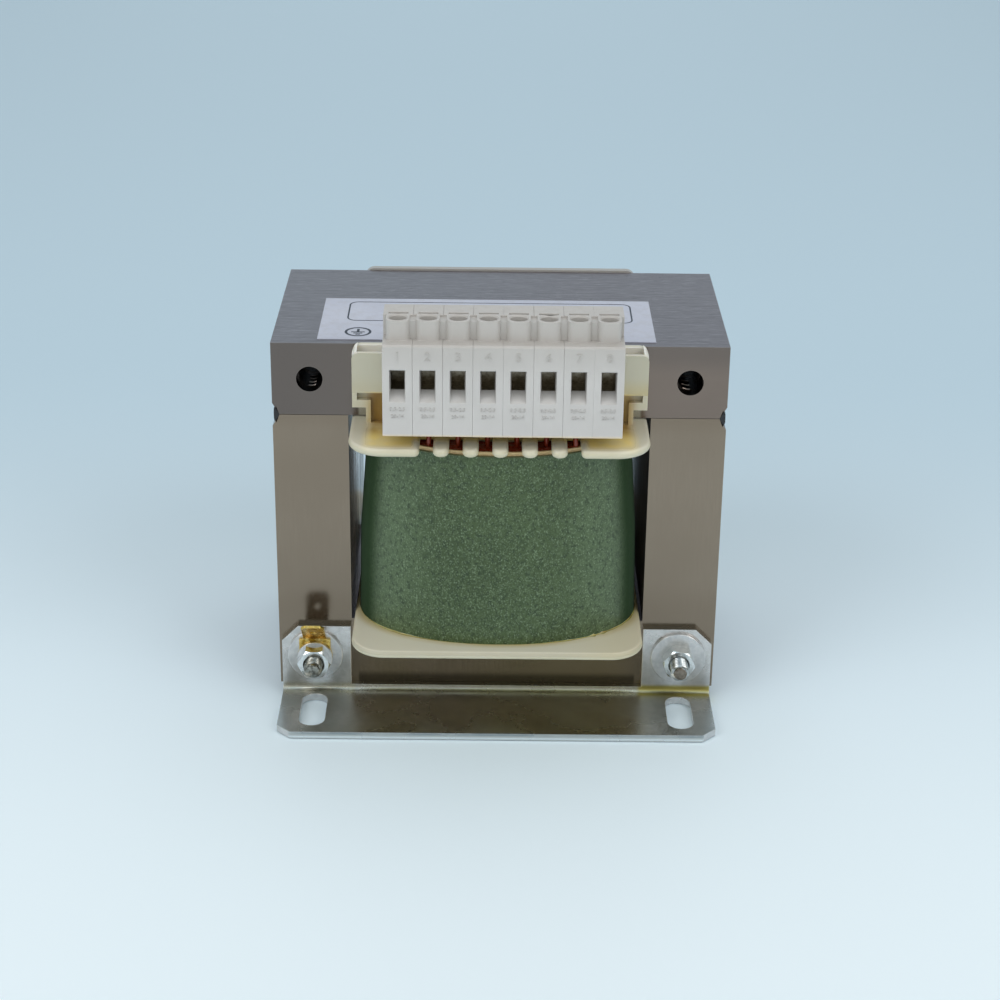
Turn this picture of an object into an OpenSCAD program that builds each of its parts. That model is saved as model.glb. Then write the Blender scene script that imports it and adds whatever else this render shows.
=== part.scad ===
// Tapped autotransformer on an E and I lamination core, with a screw terminal row and two brackets.
// Millimetres, +Z up, front towards -Y. The origin is the middle of the mounting surface.

/* [Core] */
// Width of each outer leg
leg_w = 20; // [17:0.5:26]
// Width of the centre limb
limb_w = 40; // [32:0.5:50]
// Width of each winding window
window_w = 20; // [17:0.5:26]
// Height of each winding window
window_h = 60; // [45:1:80]
// Height of the bottom yoke and of the top yoke
yoke_h = 20; // [17:0.5:26]
// Depth of the lamination stack
stack_d = 62.5; // [40:0.5:90]
// Height of the core's underside above the mounting surface
core_lift = 3; // [2:0.5:8]
// Diameter of the four holes through the stack
core_hole_d = 7; // [5.8:0.1:8]
// Distance of each hole's centre from the two nearest core edges
core_hole_inset = 10; // [9:0.5:11]

/* [Weld seams] */
// Height of the groove across the joint of the two stacks
groove_h = 6.4; // [4:0.1:9]
// Depth of the groove
groove_d = 1.9; // [1:0.1:3]
// Depth of weld at the groove's walls, from the groove's root
bead_fill = 1.45; // [0.6:0.05:1.5]
// Bulge of the weld's face past its edges
bead_crown = 0.4; // [0.1:0.05:0.6]

/* [Bobbin] */
// Clearance of the bobbin around the centre limb
limb_clear = 0.2; // [0.1:0.05:0.5]
// Wall of the bobbin's tube
tube_wall = 2; // [1:0.1:3]
// Thickness of the two flanges
flange_t = 2.2; // [1.5:0.1:3.5]
// Gap between the flanges and the yokes
flange_gap = 0.3; // [0.1:0.1:1]
// Gap between the flanges and the outer legs
flange_side_gap = 1; // [0.5:0.1:2]
// Reach of the bottom flange in front of and behind the stack
low_overhang = 24.5; // [22:0.5:34]
// Reach of the top flange in front of and behind the stack
top_overhang = 23.2; // [22:0.1:34]
// Radius of the flange corners
flange_r = 9; // [3:0.5:12]
// Thickness of the upright webs beside the top yoke
web_t = 2; // [1.2:0.1:3]
// Gap between the webs and the top yoke
web_gap = 0.4; // [0.1:0.1:1]
// Inset of the webs from the flange sides
web_inset = 0.4; // [0:0.1:2]
// Drop of the webs' tops below the carrier's lip
web_drop = 0.5; // [0:0.1:2]
// Radius of the webs' top corners
web_r = 2.5; // [0.5:0.1:4]
// Width of the notch at each lower web corner
notch_w = 3.6; // [1:0.1:6]
// Height of the notch at each lower web corner
notch_h = 4.2; // [1:0.1:5]
// Width of the rib along the front web's outer edge and around its notch
rib_w = 1.3; // [0.8:0.1:2]
// Height of the rib's step over the notch
rib_h = 2.1; // [0.8:0.1:3]
// Reach of the rib in front of the front web
rib_d = 2; // [0.5:0.1:4]

/* [Terminal carrier] */
// Clear width of the channel between the front web and the lip
channel_w = 6.4; // [4:0.1:9]
// Thickness of the lip that holds the terminals
lip_t = 1.2; // [0.8:0.1:2]
// Height of the lip
lip_h = 10.9; // [7:0.1:13]
// Thickness of the channel's floor and end walls
channel_wall = 1.2; // [0.8:0.1:2]
// Radius of the channel's top corners
channel_r = 1.8; // [0.5:0.1:3]
// Inset of the channel's ends from the web's ends
channel_inset = 0.4; // [0:0.1:3]
// Width of the lead slots in the top flange
slot_w = 3.5; // [2.6:0.1:4.5]
// Shift of the lead slots to the right of the middle
comb_shift = 0.2; // [-0.2:0.1:1.6]
// Room between a lead and the inner end of its slot
slot_room = 1.5; // [0.5:0.1:3]
// Corner radius of the two flange plates beside the slots
plate_r = 1.5; // [0.5:0.1:1.5]

/* [Coil] */
// Gap between the coil and the outer legs at the bottom flange
coil_side_gap = 2.1; // [1.5:0.1:4]
// Reach of the coil in front of and behind the stack
coil_overhang = 19.7; // [16:0.5:22]
// Depth of the coil's rounded ends
coil_end_d = 25; // [16:0.5:27]
// Exponent of the rounded ends, 2 for an ellipse
coil_power = 2.15; // [2:0.05:2.6]
// Inset of each side of the coil at the top flange
coil_top_inset = 2.8; // [0:0.1:3]
// Inset of each side of the coil where its narrowing sets in
coil_mid_inset = 0.6; // [0:0.1:1]
// Height at which the narrowing sets in, as a share of the coil's height
coil_mid_share = 0.46; // [0.3:0.02:0.7]
// Gap between neighbouring layers, the tube and the top flange
layer_gap = 0.15; // [0.1:0.05:0.3]
// Radial build of the main winding
main_build = 6.5; // [5:0.1:8]
// Thickness of the paper between the windings
interlayer_t = 0.4; // [0.2:0.1:0.8]
// Thickness of the tan wrap over the tapped winding
inner_wrap_t = 0.5; // [0.3:0.1:1]
// Thickness of the green outer wrap
outer_wrap_t = 0.9; // [0.5:0.1:1.2]
// Distance of the green wrap's top edge below the tan wrap's
outer_wrap_drop = 0.8; // [0.2:0.1:2]

/* [Terminals] */
// Number of terminals in the row
poles = 8; // [4:1:8]
// Distance between neighbouring terminals
pitch = 7.6; // [7:0.1:8.5]
// Gap between neighbouring housings
pole_gap = 0.1; // [0.05:0.05:0.3]
// Offset of the row from the bobbin's middle
row_shift = 0.7; // [-3:0.1:3]
// Gap between the top flange and the housings
terminal_gap = 4; // [2:0.1:8]
// Depth of a housing in front of the lip
terminal_d = 13.6; // [13:0.1:16]
// Height of the ledge in front of the screw funnel
ledge_h = 24.4; // [23.5:0.1:28]
// Bevel along the ledge's front edge
ledge_bevel = 0.5; // [0.2:0.1:1]
// Height of the screw funnel and rear block above the ledge
funnel_h = 5.3; // [3:0.1:8]
// Outer width of the screw funnel
funnel_w = 5.9; // [5.4:0.1:6.4]
// Corner radius of the screw funnel
funnel_r = 1.6; // [0.5:0.1:2.4]
// Distance of the screw axis behind the housing's front
screw_y = 6.5; // [6:0.1:7.5]
// Diameter of the screwdriver hole
driver_d = 4.3; // [4.2:0.1:4.6]
// Bevel around the mouth of the screwdriver hole
driver_bevel = 0.4; // [0.1:0.05:0.5]
// Distance of the rear block behind the screw axis
block_step = 2; // [1.5:0.1:3]
// Width of the marker slot on the rear block
marker_w = 5; // [3:0.1:5.5]
// Breadth of the marker slot
marker_b = 1.2; // [0.4:0.1:1.6]
// Depth of the marker slot
marker_t = 1.6; // [0.4:0.1:2]
// Distance of the marker slot from the rear block's front
marker_inset = 0.7; // [0.5:0.1:1]
// Height of the hook's seat above the housing's underside
hook_z = 17.3; // [15:0.1:19]
// Clearance of the hook around the lip
hook_clear = 0.15; // [0.1:0.05:0.3]
// Thickness of the hook's tongue
tongue_t = 1.3; // [1:0.1:2]
// Length of the hook's tongue below the lip's edge
tongue_l = 5; // [3:0.1:7]
// Side wall of a housing
housing_wall = 1; // [0.8:0.05:1.2]
// Front wall of a housing
front_wall = 2.8; // [2:0.1:3.2]
// Rear wall of a housing
rear_wall = 2.4; // [1.6:0.1:3]
// Height of the clamp cavity's ceiling
cavity_top = 19.5; // [19:0.1:20]
// Thickness of the shoulder under the screw head
shoulder_t = 1.1; // [0.8:0.1:1.6]
// Height of the wire opening's sill at the housing's front
entry_z = 9.1; // [8.5:0.05:10.5]
// Rise of the wire opening's roof at the housing's front
entry_rise = 0.3; // [0.1:0.1:1.2]
// Depth of the bevel under the wire opening's roof
entry_bevel = 0.4; // [0.3:0.1:1.8]
// Widening of the wire opening on each side, at the housing's front
entry_flare = 0.3; // [0.1:0.05:0.5]

/* [Clamps and screws] */
// Clearance of a clamp in its cavity
clamp_clear = 0.1; // [0.05:0.05:0.2]
// Side wall of a clamp
clamp_wall = 0.95; // [0.5:0.05:1]
// Top wall of a clamp
clamp_roof = 1.9; // [1.2:0.05:3]
// Height of a clamp's wire opening
wire_h = 5.8; // [3:0.1:6]
// Floor of a clamp under the wire
clamp_floor = 2.4; // [2:0.05:3.5]
// Back wall of a clamp behind the wire
clamp_back = 2.2; // [1.6:0.1:3]
// Diameter of a clamp's solder tail
tail_d = 1.2; // [0.8:0.1:1.6]
// Distance of the solder tail from the housing's back
tail_inset = 3.4; // [3.3:0.1:4]
// Height of the solder tail's end above the housing's underside
tail_z = 2; // [1:0.1:5]
// Diameter of the clamping screw
screw_d = 3; // [2.5:0.1:3.2]
// Clearance around the clamping screw
screw_clear = 0.1; // [0.05:0.05:0.2]
// Diameter of the clamping screw's head
head_d = 4; // [3.8:0.1:4.1]
// Height of the clamping screw's head
head_h = 1.9; // [1.4:0.1:2.4]
// Width of the slot in the screw head
head_slot_w = 0.8; // [0.5:0.1:1.2]
// Depth of the slot in the screw head
head_slot_d = 0.9; // [0.5:0.1:1.2]
// Reach of the screw into the wire opening
screw_reach = 1.2; // [0.2:0.1:2]
// Diameter of the enamelled tap leads
lead_d = 1.4; // [0.8:0.1:2]

/* [Brackets] */
// Sheet thickness of the brackets
sheet_t = 2; // [1.5:0.1:3]
// Inside radius of the bend between ear and foot
bend_r = 1.2; // [0.8:0.1:3]
// Inset of the bracket's ends from the core's sides
bracket_inset = 0.8; // [0:0.1:3]
// Reach of the foot in front of the stack
foot_l = 26.25; // [24:0.25:40]
// Cut at each outer foot corner
foot_chamfer = 3.8; // [1:0.1:5]
// Ear above the large washer
ear_margin = 0.9; // [0.5:0.1:2]
// Ear towards the middle, past the large washer
ear_inner_margin = 2.3; // [0.5:0.1:4]
// Cut at each outer top ear corner
ear_chamfer = 4.5; // [2:0.1:6]
// Height of the middle upstand above the bend
upstand_h = 0.3; // [0.2:0.1:4]
// Diameter of the bolt holes in the ears
ear_hole_d = 5.8; // [5.5:0.1:7]
// Width of the mounting slots
foot_slot_w = 7; // [5:0.1:8]
// Overall length of the mounting slots
foot_slot_l = 17.5; // [12:0.5:18]
// Distance of the slot's middle in front of the stack
foot_slot_y = 13.75; // [13.75:0.25:16]

/* [Bolts and earth tab] */
// Nominal diameter of the core bolts
bolt_d = 5; // [4:0.1:5.2]
// Width across the flats of bolt heads and nuts
hex_w = 8; // [7:0.1:9]
// Height of a bolt head
bolt_head_h = 3.5; // [2.5:0.1:4.5]
// Height of a nut
nut_h = 4; // [3:0.1:5]
// Depth of the countersink at the front of a nut
nut_sink = 0.4; // [0.1:0.1:0.6]
// Turn of the right nut on its bolt
right_nut_turn = 50; // [0:1:59]
// Chamfer on bolt heads, nuts and bolt ends
hex_chamfer = 0.6; // [0.2:0.1:0.8]
// Thread beyond the right nut
bolt_tail = 5.1; // [4:0.1:12]
// Clearance between a bolt and its nut
thread_clear = 0.05; // [0.02:0.01:0.1]
// Clearance between a bolt and a washer
washer_clear = 0.15; // [0.1:0.05:0.3]
// Diameter of the large washers
washer_d = 15; // [12:0.5:16]
// Thickness of the large washers
washer_t = 1.2; // [0.8:0.1:2]
// Diameter of the washer over the earth tab
lock_washer_d = 9.6; // [8.6:0.1:10]
// Thickness of the washer over the earth tab
lock_washer_t = 1; // [0.6:0.1:1.6]
// Diameter of the earth tab's eye
tab_eye_d = 9.6; // [9:0.1:10.4]
// Distance of the earth tab's bend from the bolt's axis
tab_bend_l = 5.3; // [5.3:0.1:7]
// Thickness of the earth tab
tab_t = 0.8; // [0.5:0.1:1]
// Width of the earth tab's flat base
tab_base_w = 8.6; // [7:0.1:9]
// Width of the earth tab's blade
tab_w = 6.3; // [4.8:0.1:7]
// Length of the earth tab's blade past the bend
tab_l = 9.4; // [7:0.1:14]
// Lean of the earth tab's blade, forward from upright
tab_lean = 46.5; // [20:0.5:70]
// Inside radius of the earth tab's bend
tab_bend_r = 0.8; // [0.4:0.1:1.5]
// Diameter of the hole in the earth tab's blade
tab_hole_d = 1.8; // [1:0.1:2.4]
// Distance of the hole in the blade from the bend
tab_hole_l = 5.1; // [3:0.1:5.8]
// Cut at the corners of the earth tab's blade
tab_chamfer = 1; // [0.4:0.1:1.5]

/* [Label] */
// Width of the label
label_w = 88.8; // [40:0.2:96]
// Depth of the label
label_d = 33.5; // [15:0.5:36]
// Thickness of the label
label_t = 0.15; // [0.05:0.05:0.3]
// Distance of the label from the core's left side
label_x = 12; // [2:0.5:14]
// Distance of the label from the core's front
label_y = 3; // [0.5:0.5:4]

/* [Hidden] */
$fn = 64;
// Overshoot of a cut past the face that it opens
cut = 1;
coil_steps = 28;

core_w = 2 * leg_w + 2 * window_w + limb_w;
window_x = (limb_w + window_w) / 2;
face_y = stack_d / 2;
seam_z = core_lift + yoke_h + window_h;
core_top = seam_z + yoke_h;
bolt_x = core_w / 2 - core_hole_inset;
bolt_z = core_lift + core_hole_inset;
yoke_hole_z = core_top - core_hole_inset;

tube_x = limb_w / 2 + limb_clear + tube_wall;
tube_y = face_y + limb_clear + tube_wall;
flange_x = limb_w / 2 + window_w - flange_side_gap;
low_flange_y = face_y + low_overhang;
top_flange_y = face_y + top_overhang;
low_flange_z = core_lift + yoke_h + flange_gap;
top_flange_z = seam_z - flange_gap - flange_t;
flange_top = top_flange_z + flange_t;

term_z = flange_top + terminal_gap;
lip_top = term_z + hook_z;
web_top = lip_top - web_drop;
web_x = flange_x - web_inset;
web_y = face_y + web_gap;
channel_y = web_y + web_t;
channel_x = web_x - channel_inset;
lip_back = channel_y + channel_w;
lip_front = lip_back + lip_t;
term_front = lip_front + hook_clear + terminal_d;

housing_w = pitch - pole_gap;
clamp_w = housing_w - 2 * housing_wall - 2 * clamp_clear;
wire_w = clamp_w - 2 * clamp_wall;
wire_z = cavity_top - clamp_roof - wire_h;
clamp_z = wire_z - clamp_floor;
clamp_y = front_wall + clamp_clear;
clamp_d = terminal_d - front_wall - rear_wall - 2 * clamp_clear;
tail_y = terminal_d - tail_inset;
block_y = screw_y + block_step;
hook_y = terminal_d + lip_t + 2 * hook_clear;
housing_top = ledge_h + funnel_h;
head_z = cavity_top + shoulder_t;
lead_y = term_front - tail_y;
slot_back = lead_y - lead_d / 2 - slot_room;
finger_w = pitch - slot_w;

coil_z = low_flange_z + flange_t;
coil_h = top_flange_z - coil_z - layer_gap;
coil_x = limb_w / 2 + window_w - coil_side_gap;
coil_y = face_y + coil_overhang;
coil_mid_h = coil_mid_share * coil_h;
coil_mid_scale = 1 - coil_mid_inset / coil_x;
coil_top_scale = 1 - coil_top_inset / coil_x;
coil_build = coil_x - tube_x;
main_in = layer_gap;
main_out = main_in + main_build;
paper_in = main_out + layer_gap;
paper_out = paper_in + interlayer_t;
tap_in = paper_out + layer_gap;
outer_in = coil_build - outer_wrap_t;
wrap_out = outer_in - layer_gap;
wrap_in = wrap_out - inner_wrap_t;
tap_out = wrap_in - layer_gap;

bracket_w = core_w - 2 * bracket_inset;
ear_top = bolt_z + washer_d / 2 + ear_margin;
ear_in_x = bolt_x - washer_d / 2 - ear_inner_margin;
upstand_z = sheet_t + bend_r + upstand_h;
ear_y = face_y + sheet_t;
tab_y = ear_y + washer_t;
lock_y = tab_y + tab_t;
left_nut_y = lock_y + lock_washer_t;
right_nut_y = ear_y + washer_t;
bolt_end_y = right_nut_y + nut_h + bolt_tail;

// Middle of a terminal across the row, counted from the left
function term_x(pole) = row_shift + (pole - (poles + 1) / 2) * pitch;
// Middle of the lead slot under a terminal
function slot_x(pole) = comb_shift - row_shift + term_x(pole);
// Sign-keeping power
function signed_pow(v, power) = sign(v) * pow(abs(v), power);
// Half width, half depth and half straight side of the coil at a radial build
function coil_half_x(build) = tube_x + build;
function coil_half_y(build) = tube_y + build * (coil_y - tube_y) / coil_build;
function coil_straight(build) = tube_y + build * (coil_y - coil_end_d - tube_y) / coil_build;
// One rounded end of the coil's plan outline
function coil_end(build, dir) = [
    for (i = [0:coil_steps])
        let (turn = 180 * i / coil_steps, power = 2 / coil_power)
        let (end_d = coil_half_y(build) - coil_straight(build))
        [
            dir * coil_half_x(build) * signed_pow(cos(turn), power),
            dir * (coil_straight(build) + end_d * signed_pow(sin(turn), power))
        ]
];
function coil_outline(build) = concat(coil_end(build, 1), coil_end(build, -1));

pole_list = [for (pole = [1:poles]) pole];
tap_list = [for (pole = [2:poles - 1]) pole];
function housing_name(pole) = str("terminal_", pole, "_housing");
function clamp_name(pole) = str("terminal_", pole, "_clamp");
function screw_name(pole) = str("terminal_", pole, "_screw");
function lead_name(pole) = str("tap_lead_", pole);

// Upright shape drawn in X and Z, as deep as the stack
module stacked() {
    rotate([90, 0, 0])
        linear_extrude(stack_d, center = true)
            children();
}

module groove_plan(side) {
    edge = side * core_w / 2;
    polygon([
        [edge - side * groove_d, seam_z],
        [edge, seam_z - groove_h / 2],
        [edge + side * cut, seam_z - groove_h / 2],
        [edge + side * cut, seam_z + groove_h / 2],
        [edge, seam_z + groove_h / 2]
    ]);
}

module e_core_stack() {
    color("#77726b")
        stacked()
            difference() {
                translate([-core_w / 2, core_lift])
                    square([core_w, yoke_h + window_h]);
                for (side = [-1, 1]) {
                    translate([side * window_x - window_w / 2, core_lift + yoke_h])
                        square([window_w, window_h + cut]);
                    translate([side * bolt_x, bolt_z])
                        circle(d = core_hole_d);
                    groove_plan(side);
                }
            }
}

module i_core_stack() {
    color("#6c6a68")
        stacked()
            difference() {
                translate([-core_w / 2, seam_z])
                    square([core_w, yoke_h]);
                for (side = [-1, 1]) {
                    translate([side * bolt_x, yoke_hole_z])
                        circle(d = core_hole_d);
                    groove_plan(side);
                }
            }
}

// Bead in the groove, with a round face through the edges of the fill
module weld_seam(side) {
    half_h = bead_fill * groove_h / 2 / groove_d;
    face_r = (pow(half_h, 2) + pow(bead_crown, 2)) / (2 * bead_crown);
    root = core_w / 2 - groove_d;
    color("#8b8d90")
        stacked()
            intersection() {
                groove_plan(side);
                translate([side * (root + bead_fill + bead_crown - face_r), seam_z])
                    circle(r = face_r);
            }
}

module rounded_plate(w, d, r) {
    square([w - 2 * r, d], center = true);
    square([w, d - 2 * r], center = true);
    for (side = [-1, 1], end = [-1, 1])
        translate([side * (w / 2 - r), end * (d / 2 - r)])
            circle(r = r);
}

module tube_opening() {
    square([limb_w + 2 * limb_clear, stack_d + 2 * limb_clear], center = true);
}

module flange_plan(reach) {
    difference() {
        rounded_plate(2 * flange_x, 2 * reach, flange_r);
        tube_opening();
    }
}

// Top flange with a comb of lead slots in its front edge
module slotted_flange_plan() {
    comb_left = slot_x(2) - slot_w / 2;
    comb_right = slot_x(poles - 1) + slot_w / 2;
    difference() {
        flange_plan(top_flange_y);
        translate([comb_left, -top_flange_y - cut])
            square([comb_right - comb_left, top_flange_y - slot_back + cut]);
        for (edge = [[comb_left, -1], [comb_right, 1]])
            translate([edge[0], -top_flange_y])
                difference() {
                    square(2 * plate_r, center = true);
                    translate([edge[1] * plate_r, plate_r])
                        circle(r = plate_r);
                }
    }
    for (pole = [2:poles - 2])
        translate([(slot_x(pole) + slot_x(pole + 1)) / 2, 0]) {
            translate([-finger_w / 2, finger_w / 2 - top_flange_y])
                square([finger_w, top_flange_y - finger_w / 2 - slot_back + cut]);
            translate([0, finger_w / 2 - top_flange_y])
                circle(d = finger_w);
        }
}

// Front view of an upright plate with rounded top corners
module round_topped(half, low, high, r) {
    translate([-half, low])
        square([2 * half, high - r - low]);
    translate([r - half, high - 2 * r])
        square([2 * (half - r), 2 * r]);
    for (side = [-1, 1])
        translate([side * (half - r), high - r])
            circle(r = r);
}

// Upright web with a notch at each lower corner
module web_plan() {
    difference() {
        round_topped(web_x, flange_top - flange_t / 2, web_top, web_r);
        for (side = [-1, 1])
            translate([side * web_x, flange_top + notch_h / 2])
                square([2 * notch_w, notch_h], center = true);
    }
}

// Front view of the rib: down the web's edge, over the notch and down to the flange
module rib_plan(side) {
    notch_top = flange_top + notch_h;
    notch_x = web_x - notch_w;
    scale([side, 1]) {
        translate([web_x - rib_w, notch_top])
            square([rib_w, lip_top - lip_h + channel_wall / 2 - notch_top]);
        translate([notch_x - rib_w, notch_top])
            square([notch_w + rib_w, rib_h]);
        translate([notch_x - rib_w, flange_top - flange_t / 2])
            square([rib_w, flange_t / 2 + notch_h + rib_h]);
    }
}

// Channel in front of the front web, with the lip that the terminals hang on
module terminal_channel() {
    low = lip_top - lip_h;
    translate([0, -lip_back, 0])
        rotate([90, 0, 0])
            linear_extrude(lip_t)
                round_topped(channel_x, low, lip_top, channel_r);
    translate([0, -web_y - web_t / 2, 0])
        rotate([90, 0, 0])
            linear_extrude(channel_w + (lip_t + web_t) / 2)
                difference() {
                    round_topped(channel_x, low, lip_top, channel_r);
                    translate([channel_wall - channel_x, low + channel_wall])
                        square([2 * (channel_x - channel_wall), lip_h]);
                }
}

module bobbin() {
    color("#e6dfc3") {
        translate([0, 0, low_flange_z])
            linear_extrude(flange_t)
                flange_plan(low_flange_y);
        translate([0, 0, low_flange_z])
            linear_extrude(flange_top - low_flange_z)
                difference() {
                    square([2 * tube_x, 2 * tube_y], center = true);
                    tube_opening();
                }
        translate([0, 0, top_flange_z])
            linear_extrude(flange_t)
                slotted_flange_plan();
        for (y = [-web_y, web_y + web_t])
            translate([0, y, 0])
                rotate([90, 0, 0])
                    linear_extrude(web_t)
                        web_plan();
        for (side = [-1, 1])
            translate([0, -web_y - web_t / 2, 0])
                rotate([90, 0, 0])
                    linear_extrude(web_t / 2 + rib_d)
                        rib_plan(side);
        terminal_channel();
    }
}

// Coil layer that narrows a little to its middle and more to its top, which may lie below the coil's
module coil_layer(drop = 0) {
    upper_h = coil_h - coil_mid_h - drop;
    narrowing = (coil_mid_scale - coil_top_scale) / (coil_h - coil_mid_h);
    top_scale = coil_mid_scale - narrowing * upper_h;
    translate([0, 0, coil_z])
        linear_extrude(coil_mid_h, scale = [coil_mid_scale, 1], slices = 1, $fn = 0)
            children();
    translate([0, 0, coil_z + coil_mid_h])
        linear_extrude(upper_h, scale = [top_scale / coil_mid_scale, 1], slices = 1, $fn = 0)
            scale([coil_mid_scale, 1])
                children();
}

module coil_ring(inside, outside, drop = 0) {
    coil_layer(drop)
        difference() {
            polygon(coil_outline(outside));
            polygon(coil_outline(inside));
        }
}

module main_winding() {
    color("#7a3a22")
        difference() {
            coil_layer()
                polygon(coil_outline(main_out));
            translate([0, 0, coil_z + coil_h / 2])
                cube([2 * (tube_x + main_in), 2 * (tube_y + main_in), coil_h + 2 * cut], center = true);
        }
}

module interlayer_paper() {
    color("#d9cba0")
        coil_ring(paper_in, paper_out);
}

module tap_winding() {
    color("#7a3a22")
        coil_ring(tap_in, tap_out);
}

module inner_wrap() {
    color("#c9a978")
        coil_ring(wrap_in, wrap_out);
}

module outer_wrap() {
    color("#4d6b4f")
        coil_ring(outer_in, coil_build, outer_wrap_drop);
}

// Lead from the top of the coil, through its slot, to a solder tail
module tap_lead(pole) {
    start = coil_z + coil_h;
    color("#8a3d20")
        translate([term_x(pole), -lead_y, start])
            cylinder(d = lead_d, h = term_z + tail_z - start);
}

// Places a piece of a terminal, with its own y from the front to the back
module at_terminal(pole) {
    translate([term_x(pole), -term_front, term_z])
        children();
}

// Box across a terminal's middle, from one y to another and one z to another
module terminal_box(w, y, z) {
    translate([-w / 2, y[0], z[0]])
        cube([w, y[1] - y[0], z[1] - z[0]]);
}

module housing_solid() {
    terminal_box(housing_w, [0, terminal_d], [0, ledge_h]);
    terminal_box(housing_w, [block_y, hook_y + tongue_t], [ledge_h - cut, housing_top]);
    terminal_box(housing_w, [terminal_d - cut, hook_y + tongue_t], [hook_z, ledge_h]);
    terminal_box(housing_w, [hook_y, hook_y + tongue_t], [hook_z - tongue_l, hook_z + cut]);
    translate([0, screw_y, ledge_h - cut])
        linear_extrude(funnel_h + cut)
            rounded_plate(funnel_w, funnel_w, funnel_r);
}

// Wire opening that narrows towards the clamp, with a sloping sill and a bevel under its roof
module wire_entry() {
    top = wire_z + wire_h;
    half = wire_w / 2;
    intersection() {
        rotate([90, 0, 90])
            linear_extrude(pitch, center = true)
                polygon([
                    [-cut, entry_z],
                    [0, entry_z],
                    [front_wall, wire_z],
                    [front_wall + cut, wire_z],
                    [front_wall + cut, top],
                    [entry_bevel, top],
                    [0, top + entry_rise],
                    [-cut, top + entry_rise]
                ]);
        linear_extrude(ledge_h)
            polygon([
                [-half - entry_flare, -cut],
                [half + entry_flare, -cut],
                [half + entry_flare, 0],
                [half, front_wall],
                [half, front_wall + cut],
                [-half, front_wall + cut],
                [-half, front_wall],
                [-half - entry_flare, 0]
            ]);
    }
}

module terminal_housing(pole) {
    marker_y = block_y + marker_inset;
    color("#e9e9e6")
        at_terminal(pole)
            difference() {
                housing_solid();
                terminal_box(
                    housing_w - 2 * housing_wall,
                    [front_wall, terminal_d - rear_wall],
                    [-cut, cavity_top]
                );
                wire_entry();
                translate([0, screw_y, cavity_top - cut])
                    cylinder(d = screw_d + 2 * screw_clear, h = shoulder_t + 2 * cut);
                translate([0, screw_y, head_z])
                    cylinder(d = driver_d, h = housing_top - head_z + cut);
                translate([0, screw_y, housing_top - driver_bevel])
                    cylinder(d1 = driver_d, d2 = driver_d + 4 * driver_bevel, h = 2 * driver_bevel);
                terminal_box(
                    marker_w,
                    [marker_y, marker_y + marker_b],
                    [housing_top - marker_t, housing_top + cut]
                );
                translate([0, 0, ledge_h])
                    rotate([45, 0, 0])
                        cube([pitch, ledge_bevel * sqrt(2), ledge_bevel * sqrt(2)], center = true);
            }
}

// Clamp with a wire opening, a screw hole in its roof and a solder tail
module terminal_clamp(pole) {
    color("#8d8a80")
        at_terminal(pole) {
            difference() {
                terminal_box(clamp_w, [clamp_y, clamp_y + clamp_d], [clamp_z, cavity_top]);
                terminal_box(
                    wire_w,
                    [clamp_y - cut, clamp_y + clamp_d - clamp_back],
                    [wire_z, wire_z + wire_h]
                );
                translate([0, screw_y, wire_z + wire_h - cut])
                    cylinder(d = screw_d + 2 * screw_clear, h = clamp_roof + 2 * cut);
            }
            translate([0, tail_y, tail_z])
                cylinder(d = tail_d, h = clamp_z - tail_z + clamp_floor / 2);
        }
}

module terminal_screw(pole) {
    tip_z = wire_z + wire_h - screw_reach;
    color("#b9bbbd")
        at_terminal(pole)
            translate([0, screw_y, 0]) {
                translate([0, 0, tip_z])
                    cylinder(d = screw_d, h = head_z - tip_z + head_h / 4);
                difference() {
                    translate([0, 0, head_z])
                        cylinder(d = head_d, h = head_h);
                    translate([0, 0, head_z + head_h])
                        cube([head_d + cut, head_slot_w, 2 * head_slot_d], center = true);
                }
            }
}

// Section of a bracket: ear, bend and foot, drawn as reach from the stack and height
module bracket_section() {
    outer_r = bend_r + sheet_t;
    translate([0, outer_r])
        square([sheet_t, ear_top - outer_r]);
    translate([outer_r, 0])
        square([foot_l - outer_r, sheet_t]);
    intersection() {
        square(outer_r);
        translate([outer_r, outer_r])
            difference() {
                circle(r = outer_r);
                circle(r = bend_r);
            }
    }
}

// Front view of a bracket: two ears with bolt holes on a low upstand
module bracket_front() {
    half = bracket_w / 2;
    difference() {
        polygon([
            [-half, -cut],
            [half, -cut],
            [half, ear_top - ear_chamfer],
            [half - ear_chamfer, ear_top],
            [ear_in_x, ear_top],
            [ear_in_x, upstand_z],
            [-ear_in_x, upstand_z],
            [-ear_in_x, ear_top],
            [ear_chamfer - half, ear_top],
            [-half, ear_top - ear_chamfer]
        ]);
        for (side = [-1, 1])
            translate([side * bolt_x, bolt_z])
                circle(d = ear_hole_d);
    }
}

// Plan of a bracket: foot with cut corners and a slot at each end
module bracket_plan() {
    half = bracket_w / 2;
    end = face_y + foot_l;
    round_y = (foot_slot_l - foot_slot_w) / 2;
    difference() {
        polygon([
            [-half, face_y - cut],
            [half, face_y - cut],
            [half, end - foot_chamfer],
            [half - foot_chamfer, end],
            [foot_chamfer - half, end],
            [-half, end - foot_chamfer]
        ]);
        for (side = [-1, 1])
            translate([side * bolt_x, face_y + foot_slot_y]) {
                square([foot_slot_w, 2 * round_y], center = true);
                for (dir = [-1, 1])
                    translate([0, dir * round_y])
                        circle(d = foot_slot_w);
            }
    }
}

module rear_bracket() {
    color("#b4b8b6")
        intersection() {
            translate([0, face_y, 0])
                rotate([90, 0, 90])
                    linear_extrude(bracket_w, center = true)
                        bracket_section();
            translate([0, face_y + sheet_t + bend_r, 0])
                rotate([90, 0, 0])
                    linear_extrude(2 * (foot_l + cut), center = true)
                        bracket_front();
            translate([0, 0, -cut])
                linear_extrude(ear_top + 2 * cut)
                    bracket_plan();
        }
}

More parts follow.
